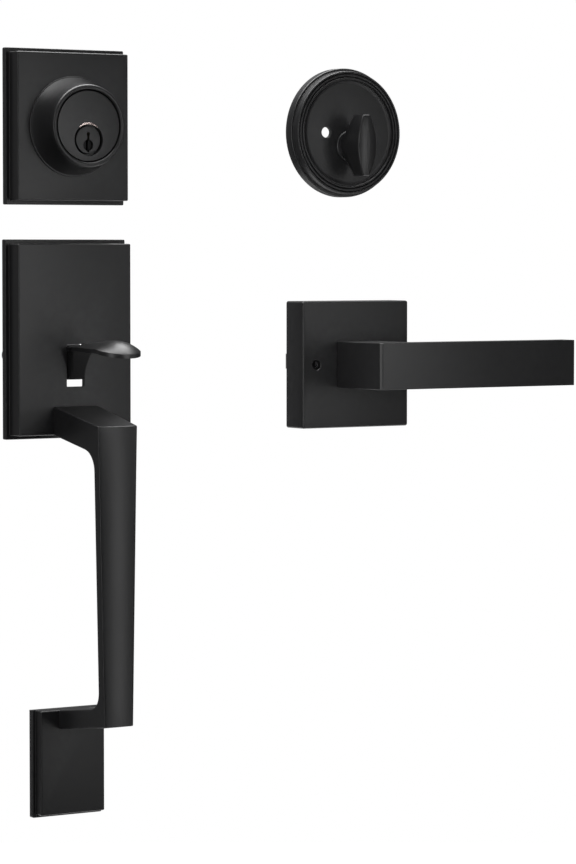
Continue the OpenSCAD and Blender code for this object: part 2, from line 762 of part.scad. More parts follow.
// Spring cage with its bearing tower
module lever_cage() {
    color(STEEL) at_lever() difference() {
        union() {
            forward(0, cage_d) soft_rect(lever_rose - 2 * wall - 0.6, lever_rose - 2 * wall - 0.6, 2);
            rod(hub_r + 3, cage_d - e, tower_d, fn = 96);
            rod(2, cage_d - e, tower_d, 0, hub_r + 8.6, 32);
        }
        rod(hub_r + 0.1, -1, tower_d + 1, fn = 96);
        rod(hub_r + 2, -1, cage_d - 0.3, fn = 96);
        for (s = [-1, 1]) rod(tap_r, -1, cage_d + 1, s * lever_screw_x, fn = 40);
    }
}

// Cam ring on the hub that winds the return spring
module lever_cam() {
    color(STEEL) at_lever() difference() {
        union() {
            rod(hub_r + 3, tower_d + 0.4, lever_in - 0.4, fn = 96);
            translate([-2, -lever_in + 0.4, -hub_r - 8])
                cube([4, lever_in - tower_d - 0.8, 8]);
        }
        rod(hub_r, 0, lever_rose_d, fn = 96);
    }
}

// Wound return spring round the bearing tower
module lever_spring() {
    color(STEEL) at_lever() translate([0, -cage_d - lever_wire / 2 - 0.2, 0]) rotate([90, 0, 0])
        coil(hub_r + 3.6 + lever_wire / 2, lever_wire / 2, tower_d - cage_d - lever_wire - 0.4, 3, 28, 8, 4);
}

// Snap ring behind the bearing tower
module lever_clip() {
    color(STEEL) at_lever() difference() {
        rod(hub_r + 1.4, 2.5, 3.3, fn = 64);
        rod(hub_r - 0.9, 0, 5, fn = 64);
        translate([-1.5, -5, 0]) cube([3, 5, hub_r + 3]);
    }
}

// Square spindle through the door
module spindle() {
    color(STEEL) at_lever() translate([-spindle_a / 2, -23.5, -spindle_a / 2])
        cube([spindle_a, 23.5 + spindle_reach, spindle_a]);
}

// Grub screw that clamps the lever on the spindle
module set_screw() {
    color(STEEL) at_lever() translate([0, -20, -lever_h / 2 + 0.8]) difference() {
        cylinder(r = 2.45, h = lever_h / 2 - 0.8 - spindle_a / 2, $fn = 40);
        translate([0, 0, -1]) cylinder(r = 1.3, h = 2.8, $fn = 6);
    }
}

// Two recessed screws that hold the lever rose on its cage
module lever_screws() {
    top = lever_rose_d - head_deep;
    color(STEEL) at_lever() for (s = [-1, 1]) translate([s * lever_screw_x, 0, 0]) difference() {
        union() {
            rod(head_r, top - head_h, top, fn = 40);
            rod(tap_r, 0.4, top - head_h + e, fn = 40);
        }
        translate([0, -top, 0]) {
            cube([3.2, 1, 0.8], center = true);
            cube([0.8, 1, 3.2], center = true);
        }
    }
}

deadbolt_plate();
cylinder_collar();
cylinder_housing();
cylinder_plug();
key_pins();
driver_pins();
pin_springs();
plug_cap();
tailpiece();
escutcheon();
escutcheon_posts();
thumbpiece();
thumb_bracket();
bracket_screws();
thumb_pin();
thumb_spring();
pull_grip();
grip_screws();
foot_plate();
foot_post();
foot_screw();
thumbturn_rose();
thumbturn();
turn_washer();
turn_clip();
lever_rose_cover();  // lever_rose
lever_handle();
lever_cage();
lever_cam();
lever_spring();
lever_clip();
spindle();
set_screw();
lever_screws();
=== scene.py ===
"""Entry door handleset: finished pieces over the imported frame, a pale studio and the camera.

Sizes are in millimetres. A depth is how far something stands out from the door's face."""

import math

import bmesh
import bpy
import numpy as np
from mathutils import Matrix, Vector


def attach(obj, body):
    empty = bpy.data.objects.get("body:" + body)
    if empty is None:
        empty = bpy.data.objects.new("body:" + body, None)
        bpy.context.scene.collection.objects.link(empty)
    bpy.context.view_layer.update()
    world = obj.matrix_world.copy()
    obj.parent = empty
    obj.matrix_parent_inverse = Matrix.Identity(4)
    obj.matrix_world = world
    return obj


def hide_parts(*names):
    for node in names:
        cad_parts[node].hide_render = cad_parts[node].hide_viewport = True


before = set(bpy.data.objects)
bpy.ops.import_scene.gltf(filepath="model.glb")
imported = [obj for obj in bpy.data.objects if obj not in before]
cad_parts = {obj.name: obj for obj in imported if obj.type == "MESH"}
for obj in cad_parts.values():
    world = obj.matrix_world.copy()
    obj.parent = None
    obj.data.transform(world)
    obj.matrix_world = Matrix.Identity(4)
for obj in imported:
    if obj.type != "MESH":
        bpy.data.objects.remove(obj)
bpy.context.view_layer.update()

MM = 0.001
# Places in the door plane, in millimetres from the escutcheon's centre
BOLT_Z = 105.5  # deadbolt plate and round rose
PLUG_Z = 98.6  # axis of the key plug and of the thumbturn
INSIDE_X = 166.0  # axis of the inside pieces
LEVER_Z = -15.2  # axis of the lever
# Shared by the cast covers
WALL = 2.6  # wall of a hollow cover
STEP, STEP_DEPTH = 2.1, 3.3  # how far the rear step of a plate stands out, and how deep it is
FACE = 27.0  # how far the cylinder's face and the thumbturn's front stand from the door


# Finishes

def link(tree, out_node, out_name, in_node, in_name):
    tree.links.new(out_node.outputs[out_name], in_node.inputs[in_name])


def node(tree, kind, at, **values):
    n = tree.nodes.new(kind)
    n.location = at
    for key, value in values.items():
        setattr(n, key, value)
    return n


def math_node(tree, at, operation, a=None, b=None, c=None, clamp=False):
    """Maths node; each value is a number or a pair of node and output."""
    n = node(tree, "ShaderNodeMath", at, operation=operation, use_clamp=clamp)
    for i, v in enumerate((a, b, c)):
        if v is None:
            continue
        if isinstance(v, tuple):
            tree.links.new(v[0].outputs[v[1]], n.inputs[i])
        else:
            n.inputs[i].default_value = v
    return n


def color_mix(tree, at, share, first, second):
    """Goes from the first colour to the second by a share; all three are outputs."""
    n = node(tree, "ShaderNodeMix", at, data_type="RGBA")
    for source, into in ((share, n.inputs[0]), (first, n.inputs[6]), (second, n.inputs[7])):
        tree.links.new(source, into)
    return n.outputs[2]


def group_face(g, name, kind, in_out="INPUT", value=None):
    """Adds a named input or output to a node group."""
    s = g.interface.new_socket(name=name, in_out=in_out, socket_type=kind)
    if value is not None:
        s.default_value = value


def grain(tree, at, scale, detail, coord):
    """Noise on the piece's own coordinates."""
    n = node(tree, "ShaderNodeTexNoise", at)
    n.inputs["Scale"].default_value = scale
    n.inputs["Detail"].default_value = detail
    link(tree, coord, "Object", n, "Vector")
    return n


def finish_group(name, inputs):
    """Node group that puts out colour, roughness and height, with its two ends and the coordinates."""
    g = bpy.data.node_groups.new(name, "ShaderNodeTree")
    for label, kind, value in inputs:
        group_face(g, label, "NodeSocket" + kind, value=value)
    for label, kind in (("Color", "Color"), ("Roughness", "Float"), ("Height", "Float")):
        group_face(g, label, "NodeSocket" + kind, "OUTPUT")
    return (g, node(g, "NodeGroupInput", (-900, 0)), node(g, "NodeGroupOutput", (700, 0)),
            node(g, "ShaderNodeTexCoord", (-900, -300)))


def sprayed_coat_group():
    """Satin sprayed coat: fine orange peel, slow drift of tone and sheen, thin wear on the edges."""
    g, inp, out, coord = finish_group("sprayed_coat", (
        ("Coat Color", "Color", (0.013, 0.013, 0.014, 1)),
        ("Edge Color", "Color", (0.06, 0.06, 0.062, 1)), ("Sheen", "Float", 0.4),
        ("Peel Scale", "Float", 1400), ("Wear", "Float", 0.5), ("Stretch", "Vector", (1, 1, 1))))
    drift_scale, scuff_scale = 22, 260
    tone_swing, sheen_swing, peel_swing = 0.5, 0.14, 0.1
    peel = node(g, "ShaderNodeTexNoise", (-600, -100))
    peel.inputs["Detail"].default_value = 2.5
    peel.inputs["Roughness"].default_value = 0.45
    stretch = node(g, "ShaderNodeVectorMath", (-750, -100), operation="MULTIPLY")
    link(g, coord, "Object", stretch, 0)
    link(g, inp, "Stretch", stretch, 1)
    link(g, stretch, 0, peel, "Vector")
    link(g, inp, "Peel Scale", peel, "Scale")
    drift = grain(g, (-600, -400), drift_scale, 3, coord)
    scuff = grain(g, (-600, -700), scuff_scale, 5, coord)
    edge = node(g, "ShaderNodeAttribute", (-600, -950), attribute_name="edge")
    # The tone drifts by about a tenth either way
    lift = math_node(g, (-300, 250), "MULTIPLY_ADD", (drift, "Fac"), tone_swing, 1 - tone_swing / 2)
    tone = node(g, "ShaderNodeVectorMath", (-100, 250), operation="SCALE")
    link(g, inp, "Coat Color", tone, 0)
    link(g, lift, 0, tone, "Scale")
    rub = math_node(g, (-300, -800), "MULTIPLY", (scuff, "Fac"), (edge, "Fac"))
    worn = math_node(g, (-100, -800), "MULTIPLY", (rub, 0), (inp, "Wear"), clamp=True)
    color = color_mix(g, (200, 200), worn.outputs[0], tone.outputs[0], inp.outputs["Edge Color"])
    g.links.new(color, out.inputs["Color"])
    sway = math_node(g, (-300, -50), "MULTIPLY_ADD", (drift, "Fac"), sheen_swing, -sheen_swing / 2)
    speck = math_node(g, (-300, -250), "MULTIPLY_ADD", (peel, "Fac"), peel_swing, -peel_swing / 2)
    both = math_node(g, (-100, -150), "ADD", (sway, 0), (speck, 0))
    rough = math_node(g, (100, -150), "ADD", (both, 0), (inp, "Sheen"), clamp=True)
    g.links.new(rough.outputs[0], out.inputs["Roughness"])
    g.links.new(peel.outputs["Fac"], out.inputs["Height"])
    return g


def drawn_metal_group():
    """Bare metal with fine lines along one way and light stains."""
    g, inp, out, coord = finish_group("drawn_metal", (
        ("Metal Color", "Color", (0.6, 0.6, 0.6, 1)), ("Stain Color", "Color", (0.35, 0.33, 0.3, 1)),
        ("Polish", "Float", 0.3), ("Line Scale", "Vector", (900, 60, 900)), ("Stain", "Float", 0.4)))
    patch_scale, polish_swing = 120, 0.22
    stretch = node(g, "ShaderNodeVectorMath", (-700, -200), operation="MULTIPLY")
    link(g, coord, "Object", stretch, 0)
    link(g, inp, "Line Scale", stretch, 1)
    lines = node(g, "ShaderNodeTexNoise", (-500, -100))
    lines.inputs["Scale"].default_value = 1
    lines.inputs["Detail"].default_value = 3
    link(g, stretch, 0, lines, "Vector")
    patch = grain(g, (-500, -400), patch_scale, 4, coord)
    share = math_node(g, (-250, -400), "MULTIPLY", (patch, "Fac"), (inp, "Stain"), clamp=True)
    color = color_mix(g, (100, 200), share.outputs[0], inp.outputs["Metal Color"],
                      inp.outputs["Stain Color"])
    g.links.new(color, out.inputs["Color"])
    sway = math_node(g, (-250, -100), "MULTIPLY_ADD", (lines, "Fac"), polish_swing, -polish_swing / 2)
    rough = math_node(g, (0, -100), "ADD", (sway, 0), (inp, "Polish"), clamp=True)
    g.links.new(rough.outputs[0], out.inputs["Roughness"])
    g.links.new(lines.outputs["Fac"], out.inputs["Height"])
    return g


SPRAYED = sprayed_coat_group()
DRAWN = drawn_metal_group()


def finish_material(name, group, bump_mm, metallic, values, specular=0.5):
    """Material that takes colour, roughness and fine relief from a finish group with its own values."""
    m = bpy.data.materials.new(name)
    m.use_nodes = True
    t = m.node_tree
    t.nodes.clear()
    out = node(t, "ShaderNodeOutputMaterial", (500, 0))
    surface = node(t, "ShaderNodeBsdfPrincipled", (200, 0))
    g = node(t, "ShaderNodeGroup", (-300, 0), node_tree=group)
    for key, value in values.items():
        g.inputs[key].default_value = value
    bump = node(t, "ShaderNodeBump", (-50, -300))
    bump.inputs["Strength"].default_value = 0.35
    bump.inputs["Distance"].default_value = bump_mm * MM
    link(t, g, "Color", surface, "Base Color")
    link(t, g, "Roughness", surface, "Roughness")
    link(t, g, "Height", bump, "Height")
    link(t, bump, "Normal", surface, "Normal")
    surface.inputs["Metallic"].default_value = metallic
    surface.inputs["Specular IOR Level"].default_value = specular
    link(t, surface, "BSDF", out, "Surface")
    return m


PLATE_COAT = finish_material("plate_coat", SPRAYED, 0.02, 0, {
    "Coat Color": (0.0075, 0.0075, 0.008, 1), "Sheen": 0.4, "Peel Scale": 1500, "Wear": 0.45})
GRIP_COAT = finish_material("grip_coat", SPRAYED, 0.015, 0, {
    "Coat Color": (0.0075, 0.0075, 0.008, 1), "Sheen": 0.36, "Peel Scale": 1300, "Wear": 0.6})
LEVER_COAT = finish_material("lever_coat", SPRAYED, 0.015, 0, {
    "Coat Color": (0.007, 0.007, 0.0075, 1), "Sheen": 0.38, "Peel Scale": 1400, "Wear": 0.5})
TURN_COAT = finish_material("thumbturn_coat", SPRAYED, 0.05, 0, {
    "Coat Color": (0.0085, 0.0085, 0.009, 1), "Sheen": 0.34, "Peel Scale": 1100, "Wear": 0.4,
    "Stretch": (1, 1, 0.03)})
BLACK_ZINC = finish_material("black_zinc_screws", DRAWN, 0.01, 1, {
    "Metal Color": (0.055, 0.055, 0.058, 1), "Stain Color": (0.03, 0.03, 0.03, 1), "Polish": 0.3,
    "Line Scale": (700, 700, 700)})
FACE_COAT = finish_material("cylinder_face_coat", SPRAYED, 0.012, 0, {
    "Coat Color": (0.011, 0.011, 0.0115, 1), "Sheen": 0.34, "Peel Scale": 1800, "Wear": 0.5})
# Darker, rougher and less shiny copy of the black coat: painted shade where the paddle shades the neck
# and web, and in the keyway's recess
PAINTED_SHADE_COAT = finish_material("painted_shade_coat", SPRAYED, 0.05, 0, {
    "Coat Color": (0.004, 0.004, 0.0044, 1), "Sheen": 0.62, "Peel Scale": 900, "Wear": 0.12},
    specular=0.22)
PLATED_STEEL = finish_material("zinc_plated_steel", DRAWN, 0.01, 1, {
    "Metal Color": (0.56, 0.56, 0.55, 1), "Stain Color": (0.36, 0.35, 0.33, 1), "Polish": 0.34})
SPRING_STEEL = finish_material("spring_wire_steel", DRAWN, 0.006, 1, {
    "Metal Color": (0.42, 0.42, 0.43, 1), "Stain Color": (0.26, 0.24, 0.22, 1), "Polish": 0.28,
    "Line Scale": (600, 600, 600)})
TURNED_BRASS = finish_material("turned_brass", DRAWN, 0.008, 1, {
    "Metal Color": (0.72, 0.52, 0.2, 1), "Stain Color": (0.42, 0.28, 0.1, 1), "Polish": 0.3,
    "Line Scale": (250, 1400, 250), "Stain": 0.5})
LIP_BRASS = finish_material("rubbed_lip_brass", DRAWN, 0.006, 1, {
    "Metal Color": (0.86, 0.74, 0.7, 1), "Stain Color": (0.35, 0.22, 0.2, 1), "Polish": 0.24,
    "Line Scale": (400, 400, 400), "Stain": 0.5})


# Mesh work

def raw_piece(name, verts, faces):
    """A plain mesh from points in millimetres."""
    mesh = bpy.data.meshes.new(name)
    mesh.from_pydata([(v[0] * MM, v[1] * MM, v[2] * MM) for v in verts], [], faces)
    mesh.update()
    piece = bpy.data.objects.new(name, mesh)
    bpy.context.scene.collection.objects.link(piece)
    return piece


def flatten(piece):
    """Turns the modifiers into plain mesh."""
    bpy.context.view_layer.update()
    graph = bpy.context.evaluated_depsgraph_get()
    made = bpy.data.meshes.new_from_object(piece.evaluated_get(graph))
    old = piece.data
    piece.modifiers.clear()
    piece.data = made
    made.name = piece.name
    bpy.data.meshes.remove(old)


def outward(piece):
    """Merges double points and turns all faces outwards."""
    b = bmesh.new()
    b.from_mesh(piece.data)
    bmesh.ops.remove_doubles(b, verts=b.verts, dist=1e-7)
    bmesh.ops.recalc_face_normals(b, faces=b.faces)
    b.to_mesh(piece.data)
    b.free()


def cut(piece, *cutters):
    """Takes the cutters out of the piece."""
    for c in cutters:
        outward(c)
        m = piece.modifiers.new("cut", "BOOLEAN")
        m.operation = "DIFFERENCE"
        m.solver = "EXACT"
        m.object = c
    flatten(piece)
    for c in cutters:
        bpy.data.objects.remove(c)


def soften(piece, width, segments=3, angle=30):
    """Rounds every edge sharper than the angle."""
    outward(piece)
    m = piece.modifiers.new("soften", "BEVEL")
    m.width = width * MM
    m.segments = segments
    m.limit_method = "ANGLE"
    m.angle_limit = math.radians(angle)
    m.use_clamp_overlap = True
    flatten(piece)


def mark_edges(piece):
    """Point attribute that is 1 on narrow rounded edges and 0 on the broad faces."""
    mesh = piece.data
    gain = 18
    bend = np.zeros((len(mesh.vertices), 3))
    count = np.zeros(len(mesh.vertices))
    for p in mesh.polygons:
        for v in p.vertices:
            bend[v] += np.array(p.normal)
            count[v] += 1
    spread = 1 - np.linalg.norm(bend, axis=1) / np.maximum(count, 1)
    value = np.clip(spread * gain, 0, 1)
    a = mesh.attributes.get("edge") or mesh.attributes.new("edge", "FLOAT", "POINT")
    a.data.foreach_set("value", value.astype(np.float32))


def done(piece, material, body, replaced, sharp=38):
    """Shading, finish and place on its body; edges sharper than sharp degrees stay crisp."""
    outward(piece)
    mesh = piece.data
    mesh.polygons.foreach_set("use_smooth", [True] * len(mesh.polygons))
    mesh.set_sharp_from_angle(angle=math.radians(sharp))
    mark_edges(piece)
    m = piece.modifiers.new("even", "WEIGHTED_NORMAL")
    m.keep_sharp = True
    m.weight = 60
    flatten(piece)
    piece.data.materials.clear()
    piece.data.materials.append(material)
    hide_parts(replaced)
    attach(piece, body)


def coated(piece, replaced, body="mounted_set", material=PLATE_COAT, sharp=38):
    """Done in the set's black coat."""
    done(piece, material, body, replaced, sharp)


def loft(name, rings, cap_first=True, cap_last=True):
    """Skin over closed rings that all have the same number of points."""
    n = len(rings[0])
    verts = [p for ring in rings for p in ring]
    faces = []
    for k in range(len(rings) - 1):
        for i in range(n):
            j = (i + 1) % n
            faces.append((k * n + i, k * n + j, (k + 1) * n + j, (k + 1) * n + i))
    if cap_first:
        faces.append(tuple(range(n - 1, -1, -1)))
    if cap_last:
        faces.append(tuple((len(rings) - 1) * n + i for i in range(n)))
    return raw_piece(name, verts, faces)


def arc(cx, cy, r, a0, a1, steps):
    """Points on an arc, angles in degrees."""
    return [(cx + r * math.cos(math.radians(a0 + (a1 - a0) * k / steps)),
             cy + r * math.sin(math.radians(a0 + (a1 - a0) * k / steps))) for k in range(steps + 1)]


def soft_rect(w, h, r, steps=5):
    """Rectangle with round corners, as x and z."""
    pts = []
    for cx, cz, a in ((w / 2 - r, h / 2 - r, 0), (-w / 2 + r, h / 2 - r, 90),
                      (-w / 2 + r, -h / 2 + r, 180), (w / 2 - r, -h / 2 + r, 270)):
        pts += arc(cx, cz, r, a, a + 90, steps)
    return pts


def turned(name, profile, x=0, z=0, segments=128, closed=True):
    """Turns (radius, depth) points round an axis along Y; depth grows away from the door."""
    rings = []
    for r, d in profile:
        rings.append([(x + r * math.cos(2 * math.pi * i / segments), -d,
                       z + r * math.sin(2 * math.pi * i / segments)) for i in range(segments)])
    piece = loft(name, rings, cap_first=not closed, cap_last=not closed)
    if closed:
        n, m = segments, len(rings)
        mesh = piece.data
        verts = [tuple(v.co) for v in mesh.vertices]
        faces = [tuple(p.vertices) for p in mesh.polygons]
        faces += [((m - 1) * n + i, (m - 1) * n + (i + 1) % n, (i + 1) % n, i) for i in range(n)]
        mesh.clear_geometry()
        mesh.from_pydata(verts, [], faces)
    return piece


def peg(name, profile, x=0, z=0, segments=96):
    """Turned solid whose outline starts and ends on its own axis, or nearly."""
    return turned(name, profile, x, z, segments, closed=False)


def bar_y(name, w, h, near, far, x=0, z=0):
    """Rectangular bar along Y from y = -near to y = -far."""
    ring = [(w / 2, h / 2), (-w / 2, h / 2), (-w / 2, -h / 2), (w / 2, -h / 2)]
    return loft(name, [[(x + a, -d, z + b) for a, b in ring] for d in (near, far)])


def rounded(points, radii, steps=4):
    """Rounds the inner points of an open line, with one radius for each."""
    out = [points[0]]
    for k in range(1, len(points) - 1):
        p, a, b = (Vector(points[i]) for i in (k, k - 1, k + 1))
        u, v = (a - p), (b - p)
        back = min(radii[k - 1] / math.tan(u.angle(v) / 2), u.length * 0.49, v.length * 0.49)
        u.normalize()
        v.normalize()
        for s in range(steps + 1):
            t = s / steps
            # Quadratic blend close to the arc
            q = (1 - t) ** 2 * (p + u * back) + 2 * t * (1 - t) * p + t * t * (p + v * back)
            out.append(tuple(q))
    out.append(points[-1])
    return out


def cavity(depth):
    """Inner line of a hollow cover, from its cavity's end to its open back, as (inset, depth)."""
    return [(WALL + 0.6, depth - WALL), (WALL, depth - WALL - 0.8), (WALL, 0)]


def cover(name, w, h, depth, x, z, skin, corner=0.7, inner_corner=1.5):
    """Hollow cover from its cavity's end, round its open back and up its skin.
    skin has (outset from the front outline, depth) points."""
    least_corner = 0.25
    rings = []
    for inset, d in cavity(depth):
        outline = soft_rect(w - 2 * inset, h - 2 * inset, inner_corner)
        rings.append([(x + a, -d, z + b) for a, b in outline])
    for out, d in skin:
        outline = soft_rect(w + 2 * out, h + 2 * out, max(corner + min(out, 0), least_corner))
        rings.append([(x + a, -d, z + b) for a, b in outline])
    return loft(name, rings)


def stepped_skin(step, depth, edge):
    """Skin of a plate with a rear step and rounded front edges."""
    step_edge, ledge_edge, front_inset = 0.5, 0.35, 4
    line = [(step, 0), (step, STEP_DEPTH), (0, STEP_DEPTH), (0, depth), (-front_inset, depth)]
    return rounded(line, [step_edge, ledge_edge, edge], 5)[:-1]


# Pieces that repeat or follow a rule are grown from node trees

def form_node(tree, kind, at, **values):
    n = tree.nodes.new(kind)
    n.location = at
    for key, value in values.items():
        n.inputs[key].default_value = value
    return n


def plug_in(tree, out, into):
    tree.links.new(out, into)


def join_forms(tree, at, *outs):
    n = form_node(tree, "GeometryNodeJoinGeometry", at)
    for o in outs:
        plug_in(tree, o, n.inputs[0])
    return n


def row_tree(name, sizes, count):
    """Node tree with named sizes for a form that stands in a row, with its two ends."""
    g = bpy.data.node_groups.new(name, "GeometryNodeTree")
    group_face(g, "Geometry", "NodeSocketGeometry")
    for label, value in sizes:
        group_face(g, label, "NodeSocketFloat", value=value)
    group_face(g, "Count", "NodeSocketInt", value=count)
    group_face(g, "Finish", "NodeSocketMaterial")
    group_face(g, "Geometry", "NodeSocketGeometry", "OUTPUT")
    return g, node(g, "NodeGroupInput", (-900, 0)), node(g, "NodeGroupOutput", (1300, 0))


def finish_row(g, inp, out, form):
    """Repeats the form away from the door, one pitch apart, and gives it its finish."""
    away = math_node(g, (-100, -800), "MULTIPLY", (inp, "Pitch"), -1.0)
    step = form_node(g, "ShaderNodeCombineXYZ", (100, -800))
    row = form_node(g, "GeometryNodeMeshLine", (350, -800))
    each = form_node(g, "GeometryNodeInstanceOnPoints", (600, 0))
    real = form_node(g, "GeometryNodeRealizeInstances", (900, 0))
    paint = form_node(g, "GeometryNodeSetMaterial", (1100, 0))
    for source, into in ((away.outputs[0], step.inputs[1]), (step.outputs[0], row.inputs["Offset"]),
                         (inp.outputs["Count"], row.inputs["Count"]),
                         (row.outputs[0], each.inputs["Points"]), (form, each.inputs["Instance"]),
                         (each.outputs[0], real.inputs[0]),
                         (real.outputs[0], paint.inputs["Geometry"]),
                         (inp.outputs["Finish"], paint.inputs["Material"]),
                         (paint.outputs[0], out.inputs["Geometry"])):
        plug_in(g, source, into)


def wound_wire_tree():
    """Spring wire wound round Z with a straight leg at each end, repeated in a row."""
    g, inp, out = row_tree("wound_wire", (
        ("Turns", 4.0), ("Winding Radius", 0.005), ("Wire Radius", 0.0005), ("Height", 0.005),
        ("Leg", 0.0), ("Pitch", 0.004)), 1)
    coil = form_node(g, "GeometryNodeCurveSpiral", (-600, 200), Resolution=28)
    plug_in(g, inp.outputs["Turns"], coil.inputs["Rotations"])
    for name in ("Start Radius", "End Radius"):
        plug_in(g, inp.outputs["Winding Radius"], coil.inputs[name])
    plug_in(g, inp.outputs["Height"], coil.inputs["Height"])

    def corner(at, y, z):
        """Point on the winding's radius, at the outputs y and z where they are given."""
        n = form_node(g, "ShaderNodeCombineXYZ", at)
        plug_in(g, inp.outputs["Winding Radius"], n.inputs[0])
        if y is not None:
            plug_in(g, y, n.inputs[1])
        if z is not None:
            plug_in(g, z, n.inputs[2])
        return n.outputs[0]

    back = math_node(g, (-700, -200), "MULTIPLY", (inp, "Leg"), -1.0).outputs[0]
    height, leg = inp.outputs["Height"], inp.outputs["Leg"]
    low_leg = corner((-500, -200), back, None), corner((-500, -350), None, None)
    high_leg = corner((-500, -500), None, height), corner((-500, -650), leg, height)
    legs = []
    for k, (a, b) in enumerate((low_leg, high_leg)):
        n = form_node(g, "GeometryNodeCurvePrimitiveLine", (-250, -250 - 200 * k))
        plug_in(g, a, n.inputs["Start"])
        plug_in(g, b, n.inputs["End"])
        legs.append(n.outputs[0])
    path = join_forms(g, (0, 0), coil.outputs[0], *legs)
    round_wire = form_node(g, "GeometryNodeCurvePrimitiveCircle", (0, -300), Resolution=12)
    plug_in(g, inp.outputs["Wire Radius"], round_wire.inputs["Radius"])
    tube = form_node(g, "GeometryNodeCurveToMesh", (250, 0))
    plug_in(g, path.outputs[0], tube.inputs["Curve"])
    plug_in(g, round_wire.outputs[0], tube.inputs["Profile Curve"])
    tube.inputs["Fill Caps"].default_value = True
    finish_row(g, inp, out, tube.outputs[0])
    return g


def pin_row_tree():
    """A row of turned pins with tapered ends."""
    g, inp, out = row_tree("pin_row", (
        ("Pin Radius", 0.0013), ("Pin Height", 0.005), ("Tip Height", 0.0008), ("Tip Radius", 0.0005),
        ("Pitch", 0.004)), 5)

    def cone(at, low, high, height):
        n = form_node(g, "GeometryNodeMeshCone", at, Vertices=32)
        n.fill_type = "NGON"
        for value, into in ((high, "Radius Top"), (low, "Radius Bottom"), (height, "Depth")):
            plug_in(g, value, n.inputs[into])
        return n.outputs[0]

    def lifted(form, height, at):
        up = form_node(g, "ShaderNodeCombineXYZ", (at[0] - 200, at[1] - 150))
        plug_in(g, height, up.inputs[2])
        move = form_node(g, "GeometryNodeTransform", at)
        plug_in(g, form, move.inputs["Geometry"])
        plug_in(g, up.outputs[0], move.inputs["Translation"])
        return move.outputs[0]

    # A pin is a straight shank between two tapers
    wide, narrow, taper = (inp.outputs[k] for k in ("Pin Radius", "Tip Radius", "Tip Height"))
    both = math_node(g, (-700, -300), "MULTIPLY", (inp, "Tip Height"), 2.0)
    straight = math_node(g, (-700, -450), "SUBTRACT", (inp, "Pin Height"), (both, 0))
    high = math_node(g, (-700, -600), "SUBTRACT", (inp, "Pin Height"), (inp, "Tip Height"))
    whole = join_forms(g, (100, 0), cone((-500, 200), narrow, wide, taper),
                       lifted(cone((-500, -100), wide, wide, straight.outputs[0]), taper, (-100, -100)),
                       lifted(cone((-500, -400), wide, narrow, taper), high.outputs[0], (-100, -400)))
    finish_row(g, inp, out, whole.outputs[0])
    return g


WOUND_WIRE = wound_wire_tree()
PIN_ROW = pin_row_tree()


def grown(name, tree, finish, place, sizes):
    """Plain mesh of a node tree; sizes are in millimetres, and place moves each point in metres."""
    piece = bpy.data.objects.new(name, bpy.data.meshes.new(name))
    bpy.context.scene.collection.objects.link(piece)
    m = piece.modifiers.new("grow", "NODES")
    m.node_group = tree
    keys = {item.name: item.identifier for item in tree.interface.items_tree if item.in_out == "INPUT"}
    for key, value in sizes.items():
        m[keys[key]] = value if key in ("Count", "Turns") else value * MM
    m[keys["Finish"]] = finish
    flatten(piece)
    for v in piece.data.vertices:
        v.co = place(*v.co)
    return piece


def springs_and_pins():
    row_start, pitch, bore_count = 6.0, 3.8, 5

    def over_plug(z):
        return lambda a, b, c: (a, b - row_start * MM, c + (PLUG_Z + z) * MM)

    # Key pins end at the shear line; driver pins and their springs stand above it
    key_foot, driver_foot, spring_foot = 0.62, 7.2, 12.22
    row = {"Count": bore_count, "Pitch": pitch}
    key_pins = grown("key_pin_row", PIN_ROW, TURNED_BRASS, over_plug(key_foot), {
        **row, "Pin Radius": 1.35, "Pin Height": 6.0, "Tip Height": 0.8, "Tip Radius": 0.5})
    done(key_pins, TURNED_BRASS, "key_plug", "key_pins")
    driver_pins = grown("driver_pin_row", PIN_ROW, PLATED_STEEL, over_plug(driver_foot), {
        **row, "Pin Radius": 1.35, "Pin Height": 4.8, "Tip Height": 0.25, "Tip Radius": 1.1})
    done(driver_pins, PLATED_STEEL, "mounted_set", "driver_pins")

    thumb_side, pivot_y, pivot_z, lever_depth = 5.4, -6.3, -5.0, 4.9

    def round_the_pivot(a, b, c):
        return c + thumb_side * MM, b + pivot_y * MM, -a + pivot_z * MM

    def round_the_spindle(a, b, c):
        return a + INSIDE_X * MM, -c - lever_depth * MM, b + LEVER_Z * MM

    one = {"Count": 1, "Pitch": 1.0}
    for name, replaced, place, sizes in (
            ("pin_spring_row", "pin_springs", over_plug(spring_foot), {
                **row, "Turns": 4.0, "Winding Radius": 1.1, "Wire Radius": 0.2,
                "Height": 4.2, "Leg": 0.01}),
            ("thumb_return_spring", "thumb_spring", round_the_pivot, {
                **one, "Turns": 3.0, "Winding Radius": 2.4, "Wire Radius": 0.34,
                "Height": 3.0, "Leg": 3.2}),
            ("lever_return_spring", "lever_spring", round_the_spindle, {
                **one, "Turns": 3.0, "Winding Radius": 14.3, "Wire Radius": 0.69,
                "Height": 4.8, "Leg": 4.0})):
        spring = grown(name, WOUND_WIRE, SPRING_STEEL, place, sizes)
        done(spring, SPRING_STEEL, "mounted_set", replaced, sharp=80)


# Outside deadbolt

def deadbolt():
    w, h, d = 62.8, 73.2, 11.7
    plate = cover("deadbolt_cover", w, h, d, 0, BOLT_Z, stepped_skin(STEP, d, 0.9))
    cut(plate, peg("hole", [(17.8, -2), (17.8, d + 2)], 0, BOLT_Z, 128))
    coated(plate, "deadbolt_plate")
    bolt_collar(d)
    cylinder_body()
    key_plug()


